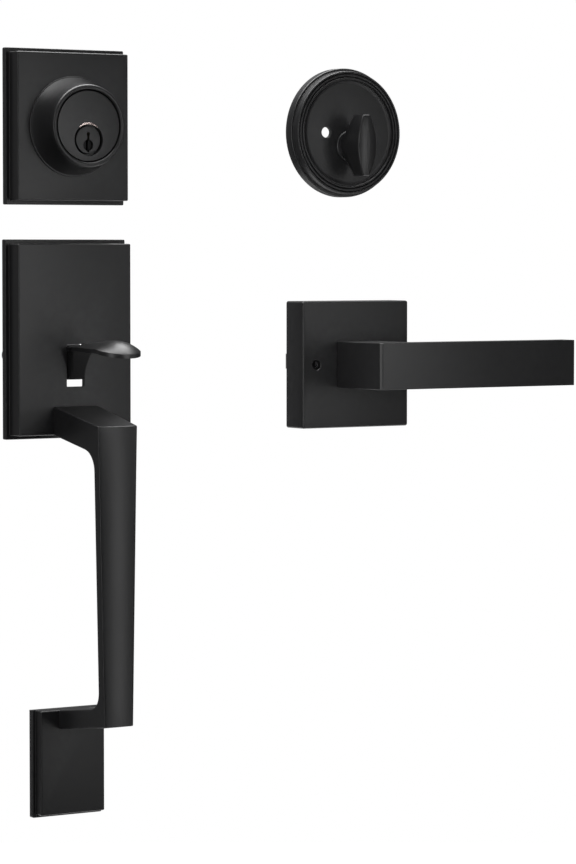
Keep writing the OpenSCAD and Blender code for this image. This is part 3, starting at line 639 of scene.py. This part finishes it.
def bolt_collar(base):
    """Flared collar with a rolled rim, from the plate's face on."""
    bore, foot_r, rim_r, front = 17.9, 24.3, 20.4, 28.0
    flare_start, flare_end = 12.6, 25.0
    # The flare is part of a circle that ends straight at the rim
    dr, dh = foot_r - rim_r, flare_end - flare_start
    big = (dh * dh + dr * dr) / (2 * dr)
    flare = []
    for k in range(17):
        d = flare_start + dh * k / 16
        flare.append((rim_r + big - math.sqrt(big * big - (flare_end - d) ** 2), d))
    roll = (rim_r - bore) / 2
    line = [(bore, base), (24.9, base), (24.9, base + 0.55)] + arc(24.5, base + 0.5, 0.4, 0, 90, 3)[1:]
    line += flare + arc(bore + roll, front - roll, roll, 0, 180, 15)
    collar = turned("bolt_collar", line, 0, BOLT_Z, 160)
    coated(collar, "cylinder_collar")


def cylinder_body():
    """Cylinder with the mouth of its plug, and the lip over that mouth."""
    bore, mouth_r, mouth_depth, tap_r, tap_x = 7.05, 7.95, 2.6, 1.9, 13.5
    line = [(0.01, -4), (16.9, -4), (17.1, -3.8), (17.1, 13), (17.5, 13.2), (17.5, FACE - 0.5)]
    line += arc(17.0, FACE - 0.5, 0.5, 0, 90, 4)[1:] + [(0.01, FACE)]
    body = peg("cylinder_body", line, 0, BOLT_Z, 160)
    line = [(bore, -6), (bore, FACE - mouth_depth), (mouth_r, FACE - mouth_depth),
            (mouth_r, FACE - 0.1), (mouth_r + 0.1, FACE + 0.05), (mouth_r + 0.1, FACE + 2)]
    mouth = peg("mouth", line, 0, PLUG_Z, 128)
    taps = [peg("tap", [(tap_r, -5), (tap_r, 8)], s * tap_x, BOLT_Z, 40) for s in (-1, 1)]
    cut(body, mouth, *taps)
    done(body, FACE_COAT, "mounted_set", "cylinder_housing")

    # Raised lip over the mouth, rubbed down to the metal, that runs out to both sides
    lip_r, lip_thick, start, span = mouth_r + 0.1, 0.5, 48, 84
    rings = []
    for k in range(37):
        a = math.radians(start + span * k / 36)
        thick = lip_thick * math.sin(math.pi * k / 36) ** 0.7 + 0.02
        ring = []
        for b in range(0, 360, 30):
            r = lip_r + thick * math.cos(math.radians(b))
            d = FACE - 0.1 + thick * math.sin(math.radians(b))
            ring.append((r * math.cos(a), -d, PLUG_Z + r * math.sin(a)))
        rings.append(ring)
    lip = loft("mouth_lip", rings)
    done(lip, LIP_BRASS, "mounted_set", "cylinder_housing", sharp=80)


def key_plug():
    """Plug with a round recess at the foot of its keyway."""
    front, keyway_w, keyway_h, keyway_z = FACE - 0.4, 1.25, 9.0, PLUG_Z - 1.6
    recess_r, recess_depth, recess_z = 2.8, 1.6, PLUG_Z - 2.7
    line = [(0.01, -7), (5.8, -7), (6, -6.8), (6, -4.3), (7, -4.2), (7, front - 2.4),
            (6.85, front - 2.2), (6.85, front - 0.4)]
    line += arc(6.45, front - 0.4, 0.4, 0, 90, 4)[1:] + [(0.01, front)]
    plug = peg("key_plug_face", line, 0, PLUG_Z, 128)

    def keyway():
        return bar_y("keyway", keyway_w, keyway_h, -8, front + 1, 0, keyway_z)

    top = peg("keyway_top", [(0.95, 0), (0.95, front + 1)], 0, PLUG_Z + 2.9, 32)
    line = [(recess_r, front - recess_depth), (recess_r, front - 0.1), (recess_r + 0.15, front + 0.05),
            (recess_r + 0.15, front + 1)]
    recess = peg("recess", line, 0, recess_z, 64)
    cut(plug, keyway(), top, recess)
    coated(plug, "cylinder_plug", "key_plug")

    # Lining of the recess in the darker coat: painted shade in the recess
    r = recess_r - 0.02
    line = [(0.01, front - 1.58), (r, front - 1.58), (r, front - 0.12), (r - 0.1, front - 0.16),
            (r - 0.14, front - 1.42), (0.01, front - 1.42)]
    recess_shade = peg("keyway_recess_shade", line, 0, recess_z, 64)
    cut(recess_shade, keyway())
    coated(recess_shade, "cylinder_plug", "key_plug", PAINTED_SHADE_COAT)


# Outside handle

def escutcheon():
    w, h, d = 64, 95, 12.9
    plate = cover("escutcheon_cover", w, h, d, 0, 0, stepped_skin(STEP, d, 0.9))
    slot_x, slot_z, slot_w, slot_h = 0.2, -13.0, 10, 21.2
    rings = []
    # The slot's mouth is eased a little
    for d0, grow in ((d - 4, 0), (d - 0.15, 0), (d + 0.1, 0.2), (d + 1, 0.2)):
        outline = soft_rect(slot_w + 2 * grow, slot_h + 2 * grow, 0.5 + grow)
        rings.append([(slot_x + a, -d0, slot_z + b) for a, b in outline])
    slot = loft("slot", rings)
    screw_r, screw_x, screw_z = 2, 6, -40.35
    line = [(screw_r, d - 4), (screw_r, d + 2)]
    holes = [peg("hole", line, s * screw_x, screw_z, 32) for s in (-1, 1)]
    cut(plate, slot, *holes)
    coated(plate, "escutcheon")


# Paddle: where its neck and its round end start, and that end's radius
PADDLE_ROOT, TIP_START, TIP_R = 13.4, 54.5, 11.5


def crown_height(x, d):
    """Top of the paddle: a sloping round bar that ends in a ball."""
    r, ball_d, ball_z = 18.4, 52.0, -18.2
    slope = math.radians(5)
    flat = math.sqrt(r * r - x * x)
    z = ball_z + (flat + (d - ball_d) * math.sin(slope)) / math.cos(slope)
    if (d - ball_d) * math.cos(slope) + (z - ball_z) * math.sin(slope) > 0:
        z = ball_z + math.sqrt(max(r * r - x * x - (d - ball_d) ** 2, 0))
    return z


def paddle_half(d):
    """Half width of the paddle at depth d."""
    if d > TIP_START:
        return TIP_R * math.sqrt(max(0, 1 - ((d - TIP_START) / TIP_R) ** 2))
    root_half = 6.0
    t = (d - PADDLE_ROOT) / (TIP_START - PADDLE_ROOT)
    return root_half + (TIP_R - root_half) * (3 * t * t - 2 * t ** 3) ** 0.9


def thumb_paddle():
    thick, cols = 2.0, 21
    depths = list(np.linspace(13.5, TIP_START, 38))
    depths += [TIP_START + TIP_R * math.sin(math.radians(a)) for a in range(4, 89, 3)]
    rings = []
    for d in depths:
        half = max(paddle_half(d), 0.3)
        across = [half * math.sin((-1 + 2 * k / (cols - 1)) * math.pi / 2) for k in range(cols)]
        ring = [(x, -d, crown_height(x, d)) for x in across]
        ring += [(x, -d, crown_height(x, d) - thick) for x in across[::-1]]
        rings.append(ring)
    paddle = loft("thumb_paddle", rings)
    soften(paddle, 0.5, 4, 50)
    coated(paddle, "thumbpiece", "thumb", sharp=60)


def thumb_neck():
    """Neck that flares from the slot into the paddle."""
    foot_z, rise, rear = -20.0, 16.2, 13.3
    rings = []
    for k in range(15):
        t = k / 14
        z = foot_z + rise * t
        half = 4.1 + 3.0 * t ** 1.9
        far = 15.3 + 4.0 * t + 3.5 * t ** 5
        outline = soft_rect(2 * half, far - rear, min(1.4, (far - rear) / 2 - 0.1), 4)
        ring = []
        for a, b in outline:
            # The back half stays slim, so that it passes through the slot when the thumb is pressed
            depth = (rear + far) / 2 - b
            slim = 4.3 + 1.5 * max(0, depth - (13.5 - 0.268 * (z + 5)))
            a = max(-slim, min(slim, a))
            ring.append((a, -depth, z + 0.25 * math.cos(a / half)))
        rings.append(ring)
    neck = loft("thumb_neck", rings)
    soften(neck, 0.5, 3, 50)
    # The neck wears the darker coat as painted shade under the paddle
    coated(neck, "thumbpiece", "thumb", PAINTED_SHADE_COAT, sharp=50)


def thumb_pivot():
    """Web from the neck back to the pivot, the barrel on the pin and the tail that works the latch."""
    web_half, barrel_half, barrel_r, pivot_d, pivot_z = 4.1, 4.2, 3.2, 6.3, -5
    # Side of the web, as depth and height
    side = [(6.4, -14.4), (9.5, -19.6), (11.5, -20.2), (13.6, -18.9), (15.1, -17.5), (15.2, -4.2),
            (12.9, -3.7), (6.4, -4.2)]
    side = rounded(side, [1.6, 1.2, 0.9, 0.4, 0.4, 0.8], 4)
    web = loft("thumb_web", [[(x, -d, z) for d, z in side] for x in (-web_half, web_half)])
    soften(web, 0.4, 3, 40)
    # The web wears the darker coat as painted shade under the paddle
    coated(web, "thumbpiece", "thumb", PAINTED_SHADE_COAT)
    tail = bar_y("thumb_tail", 5, 3, 3, -38, 0, -6.5)
    soften(tail, 0.4, 2)
    coated(tail, "thumbpiece", "thumb")
    ring = arc(-pivot_d, pivot_z, barrel_r, 0, 345, 23)
    barrel = loft("thumb_barrel", [[(x, a, b) for a, b in ring] for x in (-barrel_half, barrel_half)])
    soften(barrel, 0.3, 2, 50)
    coated(barrel, "thumbpiece", "thumb")


def thumbpiece():
    thumb_paddle()
    thumb_neck()
    thumb_pivot()


def grip_lines():
    """Outer and inner side line of the grip, as matching (depth, height) points from top to foot,
    and a function that keeps a point of the outer line on its arm's slope at another depth."""
    reach, back = 56.0, 50.0  # front and back of the bar
    top, arm_h = -33.2, 14.3  # root of the upper arm
    front_top, front_bottom, low_in = -41.7, -189.2, -185.4
    plate, foot, r = 12.9, 9.2, 10.0  # faces that the arms stand on, and the inner corners
    upper_end, lower_end, n = 14, 12, 12
    low_rise = 5.6  # how far the lower arm climbs on its way out
    up_slope, low_slope = (top - front_top) / (reach - plate), low_rise / (reach - foot)
    up_angle, low_angle = math.atan(up_slope), math.atan(low_slope)
    # Centres of the inner corners
    mid = back - r
    up_z = (top - arm_h) - up_slope * (mid - plate) - r * math.sqrt(1 + up_slope ** 2)
    low_z = low_in + low_slope * (mid - foot) + r * math.sqrt(1 + low_slope ** 2)
    outer, inner = [], []
    # Upper arm
    join_d, join_z = mid + r * math.sin(up_angle), up_z + r * math.cos(up_angle)
    run = reach - upper_end - plate
    for t in np.linspace(0, 1, 8):
        outer.append((plate + run * t, top - up_slope * run * t))
        inner.append((plate + (join_d - plate) * t, top - arm_h + (join_z - top + arm_h) * t))
    # Upper corner
    for k in range(1, n + 1):
        turn = (math.pi / 2 - up_angle) * (1 - k / n)
        inner.append((mid + r * math.cos(turn), up_z + r * math.sin(turn)))
        s = k / n
        if s < 0.5:
            d = reach - upper_end + upper_end * s * 2
            outer.append((d, top - up_slope * (d - plate)))
        else:
            outer.append((reach, front_top - (s - 0.5) * 2 * (front_top - up_z)))
    # Bar
    for t in np.linspace(0, 1, 26)[1:]:
        outer.append((reach, up_z + (low_z - up_z) * t))
        inner.append((back, up_z + (low_z - up_z) * t))
    # Lower corner
    for k in range(1, n + 1):
        turn = -(math.pi / 2 - low_angle) * k / n
        inner.append((mid + r * math.cos(turn), low_z + r * math.sin(turn)))
        s = k / n
        if s < 0.5:
            outer.append((reach, low_z + (front_bottom - low_z) * s * 2))
        else:
            d = reach - lower_end * (s - 0.5) * 2
            outer.append((d, front_bottom - low_slope * (reach - d)))
    # Lower arm
    (join_d, join_z), run = inner[-1], reach - lower_end - foot
    for t in np.linspace(0, 1, 8)[1:]:
        outer.append((foot + run - run * t, front_bottom - low_slope * (lower_end + run * t)))
        inner.append((join_d + (foot - join_d) * t, join_z + (low_in - join_z) * t))

    def on_arm(d, z, new_d):
        if abs(z - (top - up_slope * (d - plate))) < 1e-6:
            return top - up_slope * (new_d - plate)
        if abs(z - (front_bottom - low_slope * (reach - d))) < 1e-6:
            return front_bottom - low_slope * (reach - new_d)
        return z

    return outer, inner, on_arm


def grip_half(d, z):
    """Half width of the grip: the arm narrows outwards, the bar downwards."""
    bar_top, bar_bottom, front_top = -59.7, -189.2, -41.7
    if z > bar_top:
        corner_loss = 0.35 * np.clip((front_top - z) / (front_top - bar_top), 0, 1)
        return np.interp(d, [12.9, 56], [12.5, 11.05]) - corner_loss
    return np.interp(-z, [-bar_top, -bar_bottom], [10.7, 8.2])


def pull_grip():
    reach, crown, cols = 56.0, 54.0, 13
    outer, inner, on_arm = grip_lines()
    rings = []
    for (do, zo), (di, zi) in zip(outer, inner):
        half = grip_half(do, zo)
        across = [-half + 2 * half * k / (cols - 1) for k in range(cols)]
        ring = []
        for x in across:
            # The front is crowned from side to side
            limit = reach - (crown - math.sqrt(crown * crown - x * x))
            ring.append((x, -min(do, limit), on_arm(do, zo, limit) if do > limit else zo))
        ring += [(half - 2 * half * k / (cols - 1), -di, zi) for k in range(cols)]
        rings.append(ring)
    grip = loft("grip_bar", rings)
    soften(grip, 0.55, 3, 40)
    coated(grip, "pull_grip", material=GRIP_COAT)


def foot_plate():
    w, h, d, z = 36.3, 52.5, 9.2, -211.65
    plate = cover("foot_cover", w, h, d, 0, z, stepped_skin(1.6, d, 0.75))
    # Its top edge is trimmed level with the grip's lower arm
    trim = bar_y("trim", 60, 10, -1, d + 2, 0, -180.38)
    hole = peg("hole", [(2, 5), (2, d + 2)], 0, -191.0, 32)
    cut(plate, trim, hole)
    coated(plate, "foot_plate")


# Inside thumbturn

def round_rose():
    """Turned rose: radius, depth to its rings and depth to its dished face."""
    x, z = INSIDE_X, BOLT_Z
    r, d, f = 33.6, 9.5, 8.1
    line = [(7, f - 1.8), (r - 3.2, f - 1.8), (r - 3, f - 2), (r - 3, 0), (r - 0.3, 0), (r, 0.3)]
    line += arc(r - 0.7, 4.6, 0.7, 0, 90, 5) + [(r - 1.25, 5.3), (r - 1.5, 5.6), (r - 1.6, d - 1.0)]
    # Shoulder bead, flat band, inner bead and the dished face, parted by grooves
    line += arc(r - 2.15, d - 0.6, 0.6, 20, 150, 7)
    line += [(r - 2.85, d - 0.95), (r - 3.05, d - 0.5)] + arc(r - 3.7, d - 1.0, 0.95, 55, 125, 4)
    line += [(r - 4.35, d - 0.5), (r - 4.6, d - 0.95)]
    line += arc(r - 5.35, d - 0.55, 0.55, 170, 10, 7)[::-1]
    line += [(r - 6.1, d - 1.35), (r - 6.5, d - 1.3)]
    line += [(r - 8.6 + 1.9 * math.cos(math.radians(a)), d - 0.75 - 0.65 * math.sin(math.radians(a)))
             for a in (15, 40, 65, 90)]
    line += [(7, f)]
    rose = turned("round_rose", line, x, z, 192)
    screw_r, screw_x, shaft_r = 2.75, 13.5, 6.55
    holes = []
    for s in (-1, 1):
        holes.append(peg("hole", [(screw_r, 0), (screw_r, f - 0.3), (screw_r + 0.35, f + 0.02),
                                  (screw_r + 0.35, f + 3)], x + s * screw_x, z, 64))
    cut(rose, *holes)
    # The heart of the face is cut for the turn's shaft, which stands below the centre
    heart = peg("rose_heart", [(0.01, f - 1.8), (7.05, f - 1.8), (7.05, f), (0.01, f)], x, z, 128)
    for piece in (heart, rose):
        cut(piece, peg("shaft_bore", [(shaft_r, -2), (shaft_r, d + 2)], x, PLUG_Z, 96))
    coated(rose, "thumbturn_rose")
    coated(heart, "thumbturn_rose")
    return f


def thumbturn(rose_face):
    # Lens shaped knob, crowned in front and drawn in towards its foot
    x, base, half, w, tip = INSIDE_X, rose_face + 0.4, 15.75, 11.2, 1.8
    crown_long, crown_cross = 90, 22
    lens = (half * half + (w / 2 - tip) ** 2) / (2 * (w / 2 - tip))

    def ring_at(depth, length, shrink, crown=None):
        """Outline of the knob at a depth, or on its crowned front, crown below it."""
        n = 40
        heights = [(length - shrink) * math.sin(math.radians(-90 + 180 * k / n)) for k in range(n + 1)]
        right = []
        for q in heights:
            bow = math.sqrt(lens * lens - min(abs(q) * half / max(length, 1), half) ** 2)
            right.append((max(w / 2 - lens + bow - shrink, 0.4), q))
        out = []
        for a, q in right + [(-a, q) for a, q in right[::-1]]:
            d = depth
            if crown is not None:
                d = FACE - (crown_long - math.sqrt(crown_long ** 2 - q * q))
                d -= (crown_cross - math.sqrt(crown_cross ** 2 - a * a)) + crown
            out.append((x + a, -d, PLUG_Z + q))
        return out

    rings = [ring_at(base, half * 0.4, 0.3), ring_at(base + 0.3, half * 0.42, 0)]
    rings += [ring_at(base + 8 * t, half * (0.4 + 0.6 * t), 0) for t in (0.2, 0.4, 0.6, 0.8, 0.93)]
    rings += [ring_at(base + 8.1, half * 0.985, 0), ring_at(base + 8.6, half, 0)]
    rings += [ring_at(FACE - 2.9, half, 0)]
    edge = 0.6
    for a in range(0, 91, 18):
        s = math.radians(a)
        rings.append(ring_at(FACE, half, edge * (1 - math.cos(s)), edge * (1 - math.sin(s))))
    for inward in (1.2, 1.9, 2.7, 3.5, 4.3, 5.0):
        rings.append(ring_at(FACE, half, inward, 0))
    knob = loft("turn_knob_grip", rings)
    coated(knob, "thumbturn", "turn_knob", TURN_COAT)
    line = [(0.01, -3), (4.9, -3), (5.3, -2.7), (5.3, 3.1), (6.5, 3.1), (6.5, base - 0.1), (7.6, base),
            (7.9, base + 0.3), (7.9, base + 1.3), (7.6, base + 1.6), (0.01, base + 1.6)]
    shaft = peg("turn_shaft", line, x, PLUG_Z, 96)
    slot = bar_y("slot", 6.6, 2.2, -4, 2, x, PLUG_Z)
    cut(shaft, slot)
    coated(shaft, "thumbturn", "turn_knob", LEVER_COAT)


# Inside lever

def lever_rose():
    x, z = INSIDE_X, LEVER_Z
    w, d, edge = 66, 15.7, 1.2
    skin = rounded([(0, 0), (0, d), (-4, d)], [edge], 6)[:-1]
    rose = cover("lever_rose_cover", w, w, d, x, z, skin, 1.2, 2)
    cuts = [peg("hole", [(10.3, -2), (10.3, d + 2)], x, z, 96)]
    screw_r, head_r, head_depth, screw_x = 2, 2.65, 1.9, 24.5
    for s in (-1, 1):
        cuts.append(peg("hole", [(screw_r, d - 5), (screw_r, d - head_depth), (head_r, d - head_depth),
                                 (head_r, d - 0.25), (head_r + 0.3, d + 0.1), (head_r + 0.3, d + 2)],
                        x + s * screw_x, z, 48))
    cut(rose, *cuts)
    coated(rose, "lever_rose")


def lever():
    """Square lever: a neck out from the rose that turns into a flat bar."""
    x, z = INSIDE_X, LEVER_Z
    near, front, half, thick, end = 16.1, 56.5, 12.0, 11.0, 112
    bevel, inner_bevel = 1.3, 3
    outer = [(-half, near), (-half, front - bevel), (-half + bevel, front), (end, front)]
    inner = [(half, near), (half, front - thick - inner_bevel), (half + inner_bevel, front - thick),
             (end, front - thick)]
    rings = []
    for (ax, ad), (bx, bd) in zip(outer, inner):
        rings.append([(x + ax, -ad, z - half), (x + ax, -ad, z + half), (x + bx, -bd, z + half),
                      (x + bx, -bd, z - half)])
    bar = loft("lever_bar", rings)
    soften(bar, 0.4, 3, 20)
    # Hole for the grub screw, from below
    grub_r, grub_depth = 2.5, 20
    grub = peg("grub_hole", [(grub_r, -1), (grub_r, half - 5)], 0, 0, 40)
    for v in grub.data.vertices:
        a, b, c = v.co
        v.co = (x * MM + a, c - grub_depth * MM, (z - half - 1) * MM - b)
    cut(bar, grub)
    coated(bar, "lever_handle", "lever", LEVER_COAT)
    line = [(4.3, 1.9), (9.8, 1.9), (10, 2.1), (10, 2.4), (9.1, 2.4), (9.1, 3.4), (10, 3.4),
            (10, near + 0.8), (4.3, near + 0.8)]
    hub = turned("lever_hub", line, x, z, 96)
    coated(hub, "lever_handle", "lever", LEVER_COAT)


# Hidden hardware keeps the frame's own form, with its points merged

def dress(name, material, body, sharp):
    """Finished copy of a hidden node's mesh."""
    piece = bpy.data.objects.new(name + "_finished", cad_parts[name].data.copy())
    bpy.context.scene.collection.objects.link(piece)
    done(piece, material, body, name, sharp)


def hidden_hardware():
    for material, slot, body, names in (
            (TURNED_BRASS, "brass", "key_plug", ("plug_cap",)),
            (PLATED_STEEL, "zinc_steel", "key_plug", ("tailpiece",)),
            (PLATED_STEEL, "zinc_steel", "mounted_set", (
                "escutcheon_posts", "thumb_bracket", "bracket_screws", "thumb_pin", "grip_screws",
                "foot_post", "foot_screw")),
            (SPRING_STEEL, "zinc_steel", "mounted_set", ("turn_washer",)),
            (SPRING_STEEL, "zinc_steel", "turn_knob", ("turn_clip",)),
            (PLATED_STEEL, "zinc_steel", "mounted_set", ("lever_cage",)),
            (PLATED_STEEL, "zinc_steel", "lever", ("lever_cam",)),
            (SPRING_STEEL, "zinc_steel", "lever", ("lever_clip",)),
            (PLATED_STEEL, "zinc_steel", "lever", ("spindle", "set_screw")),
            (BLACK_ZINC, "zinc_steel", "mounted_set", ("lever_screws",))):
        for name in names:
            # The cage is a flat pressing, so its faces stay flat
            dress(name, material, body, sharp=4 if name == "lever_cage" else 35)


# Studio

def paper_material(name, color, rough, glow):
    """Matt paper with a faint unevenness, that also glows a little."""
    m = bpy.data.materials.new(name)
    m.use_nodes = True
    t = m.node_tree
    s = t.nodes["Principled BSDF"]
    noise = node(t, "ShaderNodeTexNoise", (-500, 0))
    noise.inputs["Scale"].default_value = 3
    mix = node(t, "ShaderNodeMix", (-200, 0), data_type="RGBA")
    mix.inputs[6].default_value = color
    mix.inputs[7].default_value = tuple(c * 0.985 for c in color[:3]) + (1,)
    t.links.new(noise.outputs["Fac"], mix.inputs[0])
    t.links.new(mix.outputs[2], s.inputs["Base Color"])
    t.links.new(mix.outputs[2], s.inputs["Emission Color"])
    s.inputs["Roughness"].default_value = rough
    s.inputs["Emission Strength"].default_value = glow
    return m


EYE = Vector((-0.86157, -1.55187, 0.04485))
TARGET = Vector((0.13395, 0, -0.05049))
LENS = 147.45


def studio():
    ahead = (TARGET - EYE)
    ahead.z = 0
    ahead.normalize()
    side = Vector((ahead.y, -ahead.x, 0))
    # Pale floor under and behind the set
    floor_z, n = -360, 6
    verts = []
    for d in np.linspace(-0.1, 0.55, n):
        for along in np.linspace(-0.4, 0.6, n):
            p = TARGET + ahead * d + side * along
            verts.append((p.x / MM, p.y / MM, floor_z))
    faces = [(n * k + i, n * k + i + 1, n * (k + 1) + i + 1, n * (k + 1) + i)
             for k in range(n - 1) for i in range(n - 1)]
    floor = raw_piece("studio_floor", verts, faces)
    floor.data.materials.append(paper_material("pale_paper", (0.93, 0.93, 0.93, 1), 0.9, 0.3))

    # The room is dim, and what stands behind the set is white paper
    world = bpy.data.worlds.new("soft_room")
    bpy.context.scene.world = world
    world.use_nodes = True
    t = world.node_tree
    dim = t.nodes["Background"]
    dim.inputs["Color"].default_value = (0.9, 0.9, 0.92, 1)
    dim.inputs["Strength"].default_value = 0.085
    paper = node(t, "ShaderNodeBackground", (0, -200))
    paper.inputs["Color"].default_value = (1, 1, 1, 1)
    paper.inputs["Strength"].default_value = 1.0
    seen = node(t, "ShaderNodeLightPath", (-200, 200))
    both = node(t, "ShaderNodeMixShader", (200, 0))
    link(t, seen, "Is Camera Ray", both, 0)
    t.links.new(dim.outputs[0], both.inputs[1])
    t.links.new(paper.outputs[0], both.inputs[2])
    t.links.new(both.outputs[0], t.nodes["World Output"].inputs["Surface"])

    def panel(name, at, look, w, h, power):
        """Rectangular lamp that the camera doesn't see; metres and watts."""
        data = bpy.data.lights.new(name, "AREA")
        data.shape = "RECTANGLE"
        data.size, data.size_y, data.energy = w, h, power
        lamp = bpy.data.objects.new(name, data)
        lamp.location = at
        lamp.rotation_euler = (Vector(look) - Vector(at)).to_track_quat("-Z", "Y").to_euler()
        lamp.visible_camera = False
        bpy.context.scene.collection.objects.link(lamp)

    panel("overhead_panel", (0.1, 0.2, 1.0), (0.1, 0.0, -0.05), 1.3, 0.9, 32)
    panel("front_panel", (1.0, -1.2, 0.35), (0.13, 0, -0.05), 0.7, 1.1, 0.4)
    panel("outside_upper_strip", (0.046, -0.207, 0.06), (0.046, 0, 0.06), 0.05, 0.21, 0.11)
    panel("outside_lower_strip", (0.085, -0.207, -0.15), (0.085, 0, -0.15), 0.05, 0.2, 0.075)
    panel("inside_strip", (0.245, -0.207, 0.045), (0.245, 0, 0.045), 0.05, 0.24, 0.095)
    panel("left_edge_panel", (-0.94, -0.65, 0.1), (0.05, 0, -0.02), 0.22, 1.1, 3.6)
    panel("left_far_panel", (-0.62, 0.95, 0.0), (0.05, 0, 0), 0.6, 0.9, 0.17)

    cam = bpy.data.cameras.new("studio_camera")
    cam.lens = LENS
    cam.sensor_width = 36
    cam.clip_start = 0.05
    cam.clip_end = 20
    eye = bpy.data.objects.new("studio_camera", cam)
    eye.location = EYE
    eye.rotation_euler = (TARGET - EYE).to_track_quat("-Z", "Y").to_euler()
    bpy.context.scene.collection.objects.link(eye)
    bpy.context.scene.camera = eye
    bpy.context.scene.view_settings.view_transform = "Standard"


deadbolt()
escutcheon()
thumbpiece()
pull_grip()
foot_plate()
thumbturn(round_rose())
lever_rose()
lever()
springs_and_pins()
hidden_hardware()
studio()
